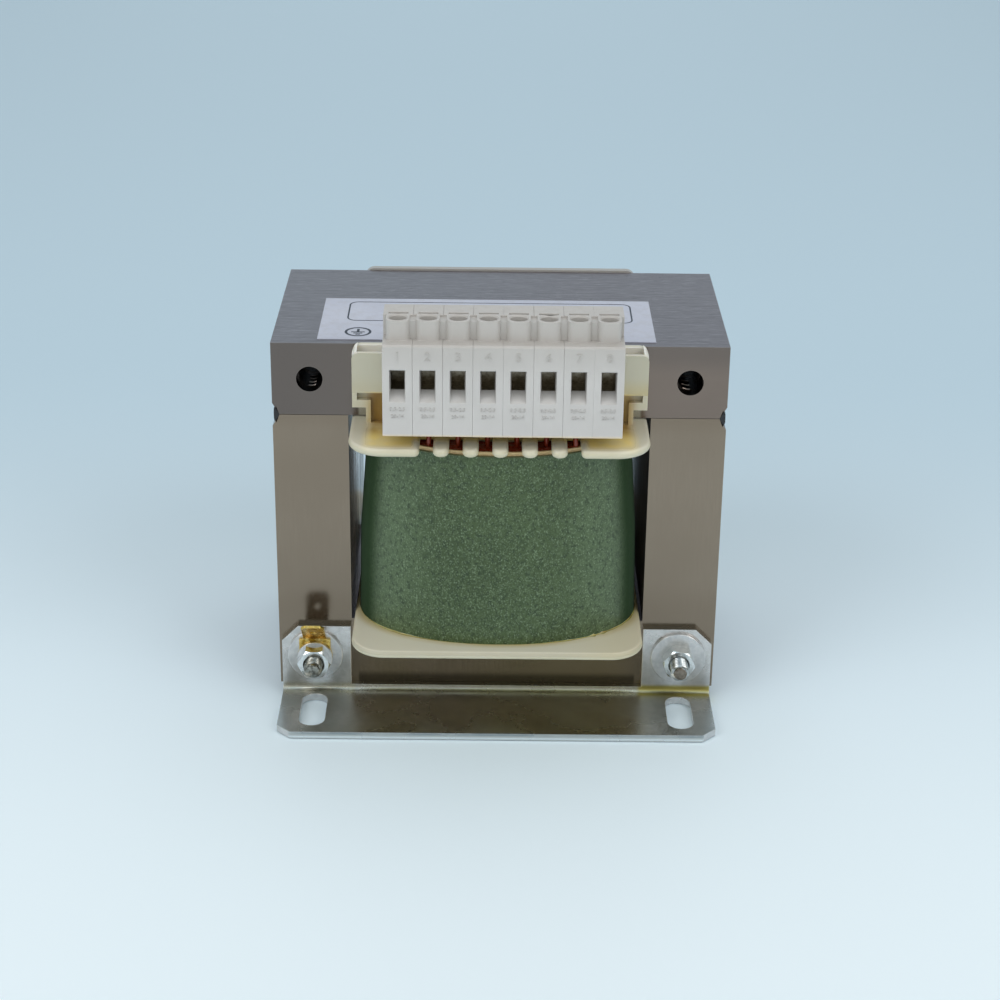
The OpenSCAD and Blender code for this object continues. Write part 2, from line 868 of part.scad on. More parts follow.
module front_bracket() {
    mirror([0, 1, 0])
        rear_bracket();
}

// Places a piece on a core bolt's axis, with its own z towards the front
module on_bolt(side, reach) {
    translate([side * bolt_x, -reach, bolt_z])
        rotate([90, 0, 0])
            children();
}

// Hexagon with its far edge chamfered
module hex_block(h) {
    corner_d = hex_w / cos(30);
    intersection() {
        cylinder(d = corner_d, h = h, $fn = 6);
        union() {
            cylinder(d = corner_d, h = h - hex_chamfer);
            translate([0, 0, h - hex_chamfer])
                cylinder(d1 = corner_d, d2 = corner_d - 2 * hex_chamfer, h = hex_chamfer);
        }
    }
}

module bolt(side) {
    head_y = -ear_y - washer_t;
    color("#a9acae")
        on_bolt(side, head_y) {
            mirror([0, 0, 1])
                hex_block(bolt_head_h);
            cylinder(d = bolt_d, h = bolt_end_y - head_y - hex_chamfer);
            translate([0, 0, bolt_end_y - head_y - hex_chamfer])
                cylinder(d1 = bolt_d, d2 = bolt_d - 2 * hex_chamfer, h = hex_chamfer);
        }
}

module nut(side, reach, turn = 0) {
    bore_d = bolt_d + 2 * thread_clear;
    sink_h = nut_sink + cut;
    color("#b2b5b6")
        on_bolt(side, reach)
            difference() {
                rotate([0, 0, turn])
                    hex_block(nut_h);
                translate([0, 0, -cut])
                    cylinder(d = bore_d, h = nut_h + 2 * cut);
                translate([0, 0, nut_h - nut_sink])
                    cylinder(d1 = bore_d, d2 = bore_d + 2 * sink_h, h = sink_h);
            }
}

module washer(side, reach, d, t) {
    color("#bcc0c1")
        on_bolt(side, reach)
            difference() {
                cylinder(d = d, h = t);
                translate([0, 0, -cut])
                    cylinder(d = bolt_d + 2 * washer_clear, h = t + 2 * cut);
            }
}

// Eye under the left nut, with a blade that leans forward above it
module earth_tab() {
    outer_r = tab_bend_r + tab_t;
    color("#b8973a")
        on_bolt(-1, tab_y) {
            linear_extrude(tab_t)
                difference() {
                    union() {
                        circle(d = tab_eye_d);
                        translate([-tab_base_w / 2, 0])
                            square([tab_base_w, tab_bend_l]);
                    }
                    circle(d = bolt_d + 2 * washer_clear);
                }
            translate([0, tab_bend_l, outer_r]) {
                rotate([0, 90, 0])
                    linear_extrude(tab_w, center = true)
                        tab_bend_section();
                rotate([tab_lean, 0, 0])
                    translate([0, 0, -outer_r])
                        linear_extrude(tab_t)
                            blade_plan();
            }
        }
}

// Section of the earth tab's bend, drawn around the bend's axis
module tab_bend_section() {
    outer_r = tab_bend_r + tab_t;
    far = 2 * outer_r;
    intersection() {
        difference() {
            circle(r = outer_r);
            circle(r = tab_bend_r);
        }
        polygon([
            [0, 0],
            [far, 0],
            [far * cos(tab_lean / 2), far * sin(tab_lean / 2)],
            [far * cos(tab_lean), far * sin(tab_lean)]
        ]);
    }
}

module blade_plan() {
    half = tab_w / 2;
    difference() {
        polygon([
            [-half, 0],
            [half, 0],
            [half, tab_l - tab_chamfer],
            [half - tab_chamfer, tab_l],
            [tab_chamfer - half, tab_l],
            [-half, tab_l - tab_chamfer]
        ]);
        translate([0, tab_hole_l])
            circle(d = tab_hole_d);
    }
}

module label() {
    color("#e4e3ea")
        translate([label_x - core_w / 2, label_y - face_y, core_top])
            cube([label_w, label_d, label_t]);
}

e_core_stack();
i_core_stack();
weld_seam(-1);  // left_weld_seam
weld_seam(1);  // right_weld_seam
bobbin();
main_winding();
interlayer_paper();
tap_winding();
inner_wrap();
outer_wrap();
for (pole = tap_list)
    tap_lead(pole);
for (pole = pole_list) {
    terminal_housing(pole);
    terminal_clamp(pole);
    terminal_screw(pole);
}
front_bracket();
rear_bracket();
bolt(-1);  // left_bolt
bolt(1);  // right_bolt
nut(-1, left_nut_y);  // left_nut
nut(1, right_nut_y, right_nut_turn);  // right_nut
washer(-1, ear_y, washer_d, washer_t);  // left_front_washer
washer(1, ear_y, washer_d, washer_t);  // right_front_washer
washer(-1, -ear_y - washer_t, washer_d, washer_t);  // left_rear_washer
washer(1, -ear_y - washer_t, washer_d, washer_t);  // right_rear_washer
earth_tab();
washer(-1, lock_y, lock_washer_d, lock_washer_t);  // earth_lock_washer
label();
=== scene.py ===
import math
import random

import bmesh
import bpy
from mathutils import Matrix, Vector, noise
from mathutils.geometry import tessellate_polygon


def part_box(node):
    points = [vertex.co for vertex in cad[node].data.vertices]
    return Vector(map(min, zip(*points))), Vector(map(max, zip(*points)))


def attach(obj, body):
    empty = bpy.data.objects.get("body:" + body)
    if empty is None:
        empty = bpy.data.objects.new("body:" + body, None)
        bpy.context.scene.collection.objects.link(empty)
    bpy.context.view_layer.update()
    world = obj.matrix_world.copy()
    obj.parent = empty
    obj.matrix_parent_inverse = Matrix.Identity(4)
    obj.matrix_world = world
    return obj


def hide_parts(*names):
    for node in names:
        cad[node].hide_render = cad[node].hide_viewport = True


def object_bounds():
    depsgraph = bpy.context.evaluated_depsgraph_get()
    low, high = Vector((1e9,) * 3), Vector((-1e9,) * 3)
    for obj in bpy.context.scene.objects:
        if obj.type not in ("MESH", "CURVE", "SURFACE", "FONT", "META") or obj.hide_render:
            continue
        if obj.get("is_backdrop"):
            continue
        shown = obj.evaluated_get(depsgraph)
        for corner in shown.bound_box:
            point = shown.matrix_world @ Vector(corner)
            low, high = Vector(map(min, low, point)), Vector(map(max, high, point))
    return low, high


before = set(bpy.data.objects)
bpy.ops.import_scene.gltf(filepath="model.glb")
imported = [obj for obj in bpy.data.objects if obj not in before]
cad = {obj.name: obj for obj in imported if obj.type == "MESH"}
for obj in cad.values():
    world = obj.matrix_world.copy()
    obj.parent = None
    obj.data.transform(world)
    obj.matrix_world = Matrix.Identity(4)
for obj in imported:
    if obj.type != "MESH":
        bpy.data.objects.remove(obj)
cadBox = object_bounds()
scene = bpy.context.scene
scene.view_settings.view_transform = "Standard"
mm = 0.001
print("frame loaded:", len(cad), "nodes")

cameraSet = dict(
    place=(-2.37, -564.93, 293.66), turn=(66.258, -0.651, -0.009), lens=78.15, sensor=36.0, near=10.0)
camera = bpy.data.cameras.new("camera")
camera.lens = cameraSet["lens"]
camera.sensor_width = cameraSet["sensor"]
camera.clip_start = cameraSet["near"] * mm
cameraObject = bpy.data.objects.new("camera", camera)
cameraObject.location = Vector(cameraSet["place"]) * mm
cameraObject.rotation_euler = [math.radians(angle) for angle in cameraSet["turn"]]
scene.collection.objects.link(cameraObject)
scene.camera = cameraObject
print("camera placed")


def paint(code):  # sRGB hex to a linear colour
    parts = [int(code[i:i + 2], 16) / 255 for i in (0, 2, 4)]
    return tuple(c / 12.92 if c <= 0.04045 else ((c + 0.055) / 1.055) ** 2.4 for c in parts) + (1.0,)


def addNode(tree, kind, values=None, **settings):
    node = tree.nodes.new(kind)
    for key, value in settings.items():
        setattr(node, key, value)
    for key, value in (values or {}).items():
        if isinstance(value, bpy.types.NodeSocket):
            tree.links.new(value, node.inputs[key])
        else:
            node.inputs[key].default_value = value
    return node


def maths(tree, operation, first, second=0.0):
    return addNode(tree, "ShaderNodeMath", {0: first, 1: second}, operation=operation).outputs[0]


def times(tree, first, *others):  # product of masks and plain numbers
    for other in others:
        first = maths(tree, "MULTIPLY", first, other)
    return first


def remap(tree, value, low, high, newLow=0.0, newHigh=1.0):
    values = {0: value, 1: low, 2: high, 3: newLow, 4: newHigh}
    return addNode(tree, "ShaderNodeMapRange", values, interpolation_type="SMOOTHSTEP").outputs[0]


def ramp(tree, value, ends, most=1.0, least=0.0):  # smooth rise between two places in millimetres
    return remap(tree, value, ends[0] * mm, ends[1] * mm, least, most)


def zone(tree, marks, **fields):  # where all the named ramps of a piece are up
    return times(tree, *[ramp(tree, field, marks[name]) for name, field in fields.items()])


def between(tree, mask, low, high):
    return remap(tree, mask, 0.0, 1.0, low, high)


def blendValue(tree, mask, first, second):
    return addNode(tree, "ShaderNodeMix", {0: mask, 2: first, 3: second}, data_type="FLOAT").outputs[0]


def blendColour(tree, mask, first, second):
    return addNode(tree, "ShaderNodeMix", {0: mask, 6: first, 7: second}, data_type="RGBA").outputs[2]


def coat(tree, under, code, mask, share=1.0):  # lays a paint over a colour where the mask is
    covered = mask if share == 1.0 else times(tree, mask, share)
    return blendColour(tree, covered, under, paint(code))


def placeAxes(tree):  # x, y and z on the part, in metres
    where = addNode(tree, "ShaderNodeTexCoord").outputs["Object"]
    return addNode(tree, "ShaderNodeSeparateXYZ", {0: where}).outputs


def facingAxes(tree, kind="True Normal"):
    facing = addNode(tree, "ShaderNodeNewGeometry").outputs[kind]
    return addNode(tree, "ShaderNodeSeparateXYZ", {0: facing}).outputs


def noiseAt(tree, where, scale, **more):
    return addNode(tree, "ShaderNodeTexNoise", {"Vector": where, "Scale": scale, **more}).outputs[0]


def noiseField(tree, scale, detail, stretch=(1, 1, 1), shift=(0, 0, 0)):
    where = addNode(tree, "ShaderNodeTexCoord").outputs["Object"]
    moved = addNode(tree, "ShaderNodeMapping", {0: where, 1: shift, 3: stretch}).outputs[0]
    return noiseAt(tree, moved, scale, Detail=detail)


def newMaterial(name, **fixed):
    material = bpy.data.materials.new(name)
    material.use_nodes = True
    shader = material.node_tree.nodes["Principled BSDF"]
    for label, value in fixed.items():
        shader.inputs[label.replace("_", " ")].default_value = value
    return material, material.node_tree, shader


def wire(tree, shader, **fields):
    for label, field in fields.items():
        tree.links.new(field, shader.inputs[label.replace("_", " ")])


def bumpFrom(tree, shader, height, depth, strength):
    values = {"Height": height, "Distance": depth, "Strength": strength}
    wire(tree, shader, Normal=addNode(tree, "ShaderNodeBump", values).outputs[0])


def newGroup(name, inputs, outputs):
    group = bpy.data.node_groups.new(name, "ShaderNodeTree")
    for label, (kind, value) in inputs.items():
        socket = group.interface.new_socket(label, in_out="INPUT", socket_type="NodeSocket" + kind)
        socket.default_value = value
    for label in outputs:
        group.interface.new_socket(label, in_out="OUTPUT", socket_type="NodeSocketFloat")
    return group, group.nodes.new("NodeGroupInput").outputs, group.nodes.new("NodeGroupOutput").inputs


def useGroup(tree, group, **values):
    node = tree.nodes.new("ShaderNodeGroup")
    node.node_tree = group
    for label, value in values.items():
        node.inputs[label].default_value = value
    return node.outputs


def groupCoordinates(tree, stretch=(1, 1, 1)):
    where = addNode(tree, "ShaderNodeTexCoord").outputs["Object"]
    return addNode(tree, "ShaderNodeVectorMath", {0: where, 1: stretch}, operation="MULTIPLY").outputs[0]


stretchy = dict(Scale=("Float", 900.0), Stretch=("Vector", (1, 1, 1)))


def makeGrainGroup():  # drawn or rolled grain, finer across than along
    group, given, result = newGroup("drawnGrain", stretchy, ["Grain", "Cloud"])
    fine = noiseAt(group, groupCoordinates(group, given["Stretch"]), given["Scale"], Detail=5.0)
    group.links.new(remap(group, fine, 0.3, 0.7), result["Grain"])
    group.links.new(remap(group, noiseField(group, 38.0, detail=4.0), 0.32, 0.68), result["Cloud"])
    return group


def makeFleckGroup():  # light and dark flecks at two sizes
    group, given, result = newGroup("fleck", stretchy, ["Light", "Dark", "Fibre"])
    where = groupCoordinates(group, given["Stretch"])
    fine = noiseAt(group, where, given["Scale"], Detail=3.0)
    broad = noiseAt(group, where, times(group, given["Scale"], 0.45), Detail=2.0)
    thread = noiseAt(group, where, given["Scale"], Detail=1.0, Distortion=2.5)
    group.links.new(remap(group, fine, 0.5, 0.72), result["Light"])
    group.links.new(remap(group, broad, 0.5, 0.32), result["Dark"])
    group.links.new(remap(group, thread, 0.44, 0.56), result["Fibre"])
    return group


def makeEdgeGroup():  # worn or lighter rims, found from the rounding of the surface
    group, given, result = newGroup("rim", dict(Width=("Float", 0.0004), Breakup=("Float", 700.0)), ["Rim"])
    facing = addNode(group, "ShaderNodeNewGeometry").outputs["Normal"]
    rounded = addNode(group, "ShaderNodeBevel", {"Radius": given["Width"]}, samples=4).outputs[0]
    turn = addNode(group, "ShaderNodeVectorMath", {0: facing, 1: rounded}, operation="DOT_PRODUCT")
    edge = remap(group, turn.outputs["Value"], 0.99, 0.86)
    ragged = noiseAt(group, groupCoordinates(group), given["Breakup"])
    group.links.new(times(group, edge, remap(group, ragged, 0.3, 0.6, 0.35, 1.0)), result["Rim"])
    return group


def makeDustGroup():  # thin film of dust on what faces up
    group, given, result = newGroup("dust", dict(Amount=("Float", 0.3), Scale=("Float", 260.0)), ["Film"])
    up = remap(group, facingAxes(group)["Z"], 0.2, 1.0)
    cloud = noiseAt(group, groupCoordinates(group), given["Scale"], Detail=6.0)
    group.links.new(times(group, up, remap(group, cloud, 0.4, 0.7), given["Amount"]), result["Film"])
    return group


def makeScratchGroup():  # sparse hairlines
    group, given, result = newGroup("hairline", dict(Scale=("Float", 60.0)), ["Line"])
    lines = []
    for stretch in ((1.0, 1.0, 14.0), (12.0, 1.5, 1.0)):
        field = noiseAt(group, groupCoordinates(group, stretch), given["Scale"], Detail=1.0, Distortion=0.6)
        lines.append(remap(group, maths(group, "ABSOLUTE", maths(group, "SUBTRACT", field, 0.5)), 0.012, 0.0))
    gaps = noiseAt(group, groupCoordinates(group), 90.0)
    line = times(group, maths(group, "MAXIMUM", *lines), remap(group, gaps, 0.5, 0.7))
    group.links.new(line, result["Line"])
    return group


grainGroup = makeGrainGroup()
fleckGroup = makeFleckGroup()
edgeGroup = makeEdgeGroup()
dustGroup = makeDustGroup()
scratchGroup = makeScratchGroup()
print("shared surface groups built")


meshSet = dict(joined=2e-6, flat=0.6, sharp=28, rounds=2, smooth=40)


def finishMesh(name, bm, smoothTo):
    bmesh.ops.recalc_face_normals(bm, faces=bm.faces)
    mesh = bpy.data.meshes.new(name)
    bm.to_mesh(mesh)
    bm.free()
    if smoothTo:
        for face in mesh.polygons:
            face.use_smooth = True
        mesh.set_sharp_from_angle(angle=math.radians(smoothTo))
    return mesh


def addPiece(name, mesh, material, slot, *replaced):
    piece = bpy.data.objects.new(name, mesh)
    scene.collection.objects.link(piece)
    mesh.materials.append(material)
    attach(piece, "root")
    if replaced:
        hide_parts(*replaced)
    return piece


def dress(node, material):  # a CAD node whose shape is right keeps it
    cad[node].data.materials.clear()
    cad[node].data.materials.append(material)


def roundEdges(bm, width, rounds, chosen=None):
    sharp = math.radians(meshSet["sharp"])
    edges = [e for e in bm.edges if len(e.link_faces) == 2 and e.calc_face_angle() > sharp]
    if chosen:
        edges = [e for e in edges if chosen(e)]
    bmesh.ops.bevel(
        bm, geom=edges, offset=width, offset_type="OFFSET", segments=rounds, profile=0.5,
        affect="EDGES", clamp_overlap=True)


def softEdged(node, name, width, material, slot, first=None):  # copy of a CAD node with rounded edges
    bm = bmesh.new()
    bm.from_mesh(cad[node].data)
    bmesh.ops.remove_doubles(bm, verts=bm.verts, dist=meshSet["joined"])
    bmesh.ops.dissolve_limit(bm, angle_limit=math.radians(meshSet["flat"]), verts=bm.verts, edges=bm.edges)
    if first:
        roundEdges(bm, **first)
    roundEdges(bm, width * mm, meshSet["rounds"])
    piece = addPiece(name, finishMesh(name, bm, meshSet["smooth"]), material, slot, node)
    level = piece.modifiers.new("flatFaces", "WEIGHTED_NORMAL")
    level.keep_sharp = True
    return piece


def loft(bm, rows, closedAcross=True, closedAlong=False):  # quads between rows of equal length
    made = [[bm.verts.new(p) for p in row] for row in rows]
    spans = len(made) if closedAlong else len(made) - 1
    for i in range(spans):
        first, second = made[i], made[(i + 1) % len(made)]
        across = len(first) if closedAcross else len(first) - 1
        for k in range(across):
            n = (k + 1) % len(first)
            bm.faces.new((first[k], first[n], second[n], second[k]))
    return made


def cappedLoft(bm, rows):
    made = loft(bm, rows)
    bm.faces.new(made[0][::-1])
    bm.faces.new(made[-1])


def sweepTube(bm, path, radius, sides, closed=False):
    count = len(path)
    angles = [2 * math.pi * k / sides for k in range(sides)]
    rings, side = [], None
    for i, point in enumerate(path):
        ahead = path[(i + 1) % count] if closed or i + 1 < count else point
        behind = path[i - 1] if closed or i > 0 else point
        along = (ahead - behind).normalized()
        if side is None:
            side = along.cross(Vector((0, 0, 1)) if abs(along.z) < 0.9 else Vector((0, 1, 0))).normalized()
        side = (side - along * side.dot(along)).normalized()
        up = along.cross(side)
        rings.append([point + radius * (math.cos(a) * side + math.sin(a) * up) for a in angles])
    if closed:
        loft(bm, rings, closedAlong=True)
    else:
        cappedLoft(bm, rings)


def ringNoise(angle, radius, level):  # noise that closes on itself after a turn
    return noise.noise(Vector((radius * math.cos(angle), radius * math.sin(angle), level)))


# core: each stack is made of its own sheets, a little uneven at the cut edges
coreSet = dict(
    halfWidth=60, low=3, seam=83, high=103, limb=20, window=40, windowLow=23, face=31.25,
    hole=3.5, holeX=50, lowHole=13, highHole=93, grooveHeight=3.2, grooveDepth=1.9,
    sheets=125, sheetShare=0.95, seamGap=0.07, uneven=0.012, holeSteps=28, holeShift=0.14, holeRun=(3, 8),
    burr=0.26, burrSteps=8, burrSides=6,
    leftBurrs=(-100, -68, (4.6, 7.0, 9.4, 11.8)), rightBurrs=(-118, -84, (4.6, 7.6, 10.6)))


def circlePoints(x, z, radius, steps):
    turns = [2 * math.pi * k / steps for k in range(steps)]
    return [Vector((x + radius * math.cos(a), z + radius * math.sin(a))) for a in turns]


def bothHalves(right):  # the right half of an outline and its mirror image
    return [Vector(p) for p in right] + [Vector((-x, z)) for x, z in reversed(right)]


def eSheetOutline(c):
    w, root, top = c["halfWidth"], c["halfWidth"] - c["grooveDepth"], c["seam"] - c["seamGap"]
    return bothHalves([
        (w, c["low"]), (w, c["seam"] - c["grooveHeight"]), (root, top), (c["window"], top),
        (c["window"], c["windowLow"]), (c["limb"], c["windowLow"]), (c["limb"], top)])


def iSheetOutline(c):
    w, root, low = c["halfWidth"], c["halfWidth"] - c["grooveDepth"], c["seam"] + c["seamGap"]
    return bothHalves([(root, low), (w, c["seam"] + c["grooveHeight"]), (w, c["high"])])


def holePair(c, z):
    return [circlePoints(side * c["holeX"], z, c["hole"], c["holeSteps"]) for side in (-1, 1)]


def addSheet(bm, flat, loops, triangles, front, back, shift, squeeze):
    sides = []
    for y in (front, back):
        sides.append([bm.verts.new(Vector((p.x * squeeze + shift.x, y, p.y + shift.y)) * mm) for p in flat])
    for a, b, d in triangles:
        bm.faces.new((sides[0][a], sides[0][b], sides[0][d]))
        bm.faces.new((sides[1][d], sides[1][b], sides[1][a]))
    start = 0
    for loop in loops:
        for k in range(len(loop)):
            a, b = start + k, start + (k + 1) % len(loop)
            bm.faces.new((sides[0][a], sides[0][b], sides[1][b], sides[1][a]))
        start += len(loop)


def addBurrs(bm, x, start, end, depths):  # rough edges standing up on the floor of a hole
    c = coreSet
    angles = [math.radians(start + (end - start) * k / c["burrSteps"]) for k in range(c["burrSteps"] + 1)]
    for depth in depths:
        arc = []
        for a in angles:
            out, rise = c["hole"] * math.cos(a), c["hole"] * math.sin(a)
            arc.append(Vector((x + out, depth - c["face"], c["highHole"] + rise)) * mm)
        sweepTube(bm, arc, c["burr"] * mm, c["burrSides"])


def sheetStack(name, outline, holes, material, node, seed, burrs=()):
    c = coreSet
    draw = random.Random(seed)
    loops = [outline] + holes
    triangles = tessellate_polygon([[Vector((p.x, p.y, 0)) for p in loop] for loop in loops])
    bm = bmesh.new()
    pitch = 2 * c["face"] / c["sheets"]
    run, slip = 0, Vector((0, 0))
    for i in range(c["sheets"]):
        reach = 0 if i in (0, c["sheets"] - 1) else c["uneven"]
        shift = Vector((draw.uniform(-reach, reach), draw.uniform(-reach, 0)))
        if run == 0 and i:  # the next few sheets have their holes punched a little aside
            run = draw.randint(*c["holeRun"])
            slip = Vector((draw.uniform(-1, 1), draw.uniform(-1, 1))) * c["holeShift"]
        run = max(0, run - 1)
        front = -c["face"] + i * pitch
        back = front + pitch * c["sheetShare"] if i < c["sheets"] - 1 else c["face"]
        flat = list(outline) + [p + slip for loop in holes for p in loop]
        addSheet(bm, flat, loops, triangles, front, back, shift, 1 - reach / c["halfWidth"])
    for x, marks in burrs:
        addBurrs(bm, x, *marks)
    return addPiece(name, finishMesh(name, bm, smoothTo=0), material, "lamination_steel", node)


# the steel's paints, and the places where they begin and end in millimetres
steelSet = dict(
    cut="887e80", cutLight="9e9496", cutDark="72686a", speck="4f4a4b", inner="1e1c1d", innerBright="fbf9ff",
    bore="151416", burr="f0eeee", grime="3c352c", haze="d8d8d2",
    grainScale=2600.0, fleckScale=2200.0, fleckStretch=(0.14, 1.0, 0.14),
    leftSide=(0, -30), rightSide=(0, 30), brightZ=(48, 60), brightY=(-16, -10), boreR=(3.60, 3.54),
    burrR=(3.36, 3.28), oxideX=(20, -60), grimeZ=(7.3, 4.9), grimeX=(38.6, 38.0), polishX=(-30, 30),
    hazeLow=(82.9, 83.1), hazeHigh=(87.2, 86.6), hazeX=(37.6, 36.8), hazeY=(0, -20))


def coreSteel(name, look):
    material, tree, shader = newMaterial(name, Metallic=1.0)
    axes, facing = placeAxes(tree), facingAxes(tree)
    apart = maths(tree, "ABSOLUTE", axes["X"])
    front = maths(tree, "GREATER_THAN", maths(tree, "ABSOLUTE", facing["Y"]), 0.5)
    grain = useGroup(tree, grainGroup, Scale=look["grainScale"], Stretch=look["grainStretch"])
    fleck = useGroup(tree, fleckGroup, Scale=look["fleckScale"], Stretch=look["fleckStretch"])
    rim = useGroup(tree, edgeGroup, Width=0.0005, Breakup=500.0)["Rim"]
    face = coat(tree, paint(look["face"]), look["faceLight"], grain["Grain"])
    face = coat(tree, face, look["faceStain"], grain["Cloud"], 0.45)
    cut = coat(tree, paint(look["cut"]), look["cutLight"], fleck["Light"])
    cut = coat(tree, cut, look["cutDark"], fleck["Dark"], 0.4)
    cut = coat(tree, cut, look["speck"], remap(tree, noiseField(tree, 900.0, detail=2.0), 0.69, 0.74), 0.5)
    # painted shade darkens the legs' inner faces beside the coil
    leftInside = times(tree, remap(tree, facing["X"], 0.4, 0.6), ramp(tree, axes["X"], look["leftSide"]))
    rightInside = times(tree, remap(tree, facing["X"], -0.4, -0.6), ramp(tree, axes["X"], look["rightSide"]))
    cut = coat(tree, cut, look["inner"], leftInside, 0.75)
    cut = coat(tree, cut, look["inner"], rightInside, 0.9)
    # painted reflection: the left leg's inner face is bright behind the coil
    bright = zone(tree, look, brightZ=axes["Z"], brightY=axes["Y"])
    cut = coat(tree, cut, look["innerBright"], times(tree, leftInside, bright))
    aside = maths(tree, "SUBTRACT", apart, coreSet["holeX"] * mm)
    above = maths(tree, "SUBTRACT", axes["Z"], coreSet["highHole"] * mm)
    fromHole = maths(tree, "SQRT", maths(tree, "ADD", times(tree, aside, aside), times(tree, above, above)))
    # painted shade inside the upper holes
    cut = coat(tree, cut, look["bore"], ramp(tree, fromHole, look["boreR"]), 0.9)
    cut = coat(tree, cut, look["burr"], ramp(tree, fromHole, look["burrR"]))
    colour = blendColour(tree, front, cut, face)
    oxide = ramp(tree, axes["X"], look["oxideX"], look["oxide"])  # painted shade: the left end is darker, and the fades below darken bands of the face
    for low, high, amount in look["fades"]:
        oxide = maths(tree, "MAXIMUM", oxide, ramp(tree, axes["Z"], (low, high), amount))
    colour = coat(tree, colour, look["faceDark"], times(tree, oxide, front))
    grimy = times(tree, front, zone(tree, look, grimeZ=axes["Z"], grimeX=apart))
    colour = coat(tree, colour, look["grime"], grimy, 0.75)  # painted shade along the fold of the foot
    hazed = zone(tree, look, hazeLow=axes["Z"], hazeHigh=axes["Z"], hazeX=apart, hazeY=axes["Y"])
    colour = coat(tree, colour, look["haze"], hazed, 0.6)  # varnish mist where the bobbin leaves a notch
    colour = coat(tree, colour, look["rim"], rim, 0.2)
    facePolish = between(tree, grain["Grain"], look["polish"], look["polish"] + 0.03)
    cutPolish = ramp(tree, axes["X"], look["polishX"], look["rightPolish"], look["leftPolish"])
    wire(tree, shader, Base_Color=colour, Roughness=blendValue(tree, front, cutPolish, facePolish))
    relief = maths(tree, "ADD", times(tree, grain["Grain"], 0.5), times(tree, fleck["Fibre"], front))
    bumpFrom(tree, shader, relief, 0.000004, 0.3)
    return material


eSteel = coreSteel("eSheetSteel", dict(
    steelSet, face="8f8172", faceLight="938576", faceStain="897b6c", faceDark="7e6e5e", rim="a99988",
    oxide=0.1, fades=((76.5, 83, 0.35), (36, 26, 0.3)), grainStretch=(1.0, 1.0, 0.06),
    polish=0.19, leftPolish=0.12, rightPolish=0.45))
iSteel = coreSteel("iSheetSteel", dict(
    steelSet, face="83756c", faceLight="877970", faceStain="7d6f66", faceDark="6c6460", rim="a0948a",
    oxide=0.85, fades=((94, 101, 0.5),), grainStretch=(0.06, 1.0, 1.0),
    polish=0.22, leftPolish=0.3, rightPolish=0.36))
eHoles, iHoles = [holePair(coreSet, coreSet[row]) for row in ("lowHole", "highHole")]
holeBurrs = [(-coreSet["holeX"], coreSet["leftBurrs"]), (coreSet["holeX"], coreSet["rightBurrs"])]
sheetStack("e_sheets", eSheetOutline(coreSet), eHoles, eSteel, "e_core_stack", 11)
sheetStack("i_sheets", iSheetOutline(coreSet), iHoles, iSteel, "i_core_stack", 23, holeBurrs)
print("core sheets stacked:", coreSet["sheets"], "in each stack")


# weld beads: ripples laid along the groove
weldSet = dict(
    root=58.1, back=0.02, fill=1.15, half=2.42, face=coreSet["face"], rows=300, across=12,
    pitch=1.6, ripple=0.3, rippleFall=1.5, lag=1.1, stray=0.25, strayRun=0.6,
    crown=0.34, crownShare=0.8, swell=0.35, swellRun=0.35, endRun=0.9, endFill=0.8, endY=(29.0, 30.8),
    dark="858587", light="a3a2a1", stain="6b6460", tint="5c5f6a", end="343436")


def weldBead(name, side, node, material, seed):
    w = weldSet
    offset = random.Random(seed).uniform(0, 9)
    rows = []
    for i in range(w["rows"] + 1):
        y = -w["face"] + 2 * w["face"] * i / w["rows"]
        ends = min(1.0, min(y + w["face"], w["face"] - y) / w["endRun"] + w["endFill"])
        swell = w["swell"] * noise.noise(Vector((offset + 5, y * w["swellRun"], 0)))
        crown = w["crown"] * (w["crownShare"] + swell)
        row = []
        for k in range(w["across"] + 1):
            t = 2 * k / w["across"] - 1
            bow = 1 - t * t
            stray = w["stray"] * noise.noise(Vector((offset, y * w["strayRun"], t)))
            step = (y + w["lag"] * bow + stray) / w["pitch"] % 1.0
            lump = w["ripple"] * (1 - step) ** w["rippleFall"] * bow ** 0.5
            reach = w["root"] + (w["fill"] + crown * bow + lump) * ends
            row.append(Vector((side * reach, y, coreSet["seam"] + w["half"] * t)) * mm)
        row.append(Vector((side * (w["root"] + w["back"]), y, coreSet["seam"])) * mm)
        rows.append(row)
    bm = bmesh.new()
    cappedLoft(bm, rows)
    return addPiece(name, finishMesh(name, bm, smoothTo=50), material, "weld_metal", node)


def weldMetal():
    w = weldSet
    material, tree, shader = newMaterial("weldMetal", Metallic=1.0)
    grain = useGroup(tree, grainGroup, Scale=1400.0)
    heat = remap(tree, noiseField(tree, 130.0, detail=3.0), 0.52, 0.68)
    colour = coat(tree, paint(w["dark"]), w["light"], grain["Grain"])
    colour = coat(tree, colour, w["stain"], grain["Cloud"], 0.5)
    colour = coat(tree, colour, w["tint"], heat, 0.5)
    ends = ramp(tree, maths(tree, "ABSOLUTE", placeAxes(tree)["Y"]), w["endY"])
    colour = coat(tree, colour, w["end"], ends, 0.9)
    wire(tree, shader, Base_Color=colour, Roughness=between(tree, grain["Grain"], 0.22, 0.42))
    bumpFrom(tree, shader, grain["Grain"], 0.000012, 0.3)
    return material


weldSteel = weldMetal()
weldBead("left_weld_bead", -1, "left_weld_seam", weldSteel, 5)
weldBead("right_weld_bead", 1, "right_weld_seam", weldSteel, 8)
print("weld beads laid")


# the coil's plan outline as wound, and how it narrows upwards
coilSet = dict(
    tubeX=22.2, tubeY=33.45, halfX=37.9, halfY=50.95, endDepth=25.0, power=2.15, low=25.5, high=80.35,
    midRise=0.46, midInset=0.6, topInset=2.8, steps=240)
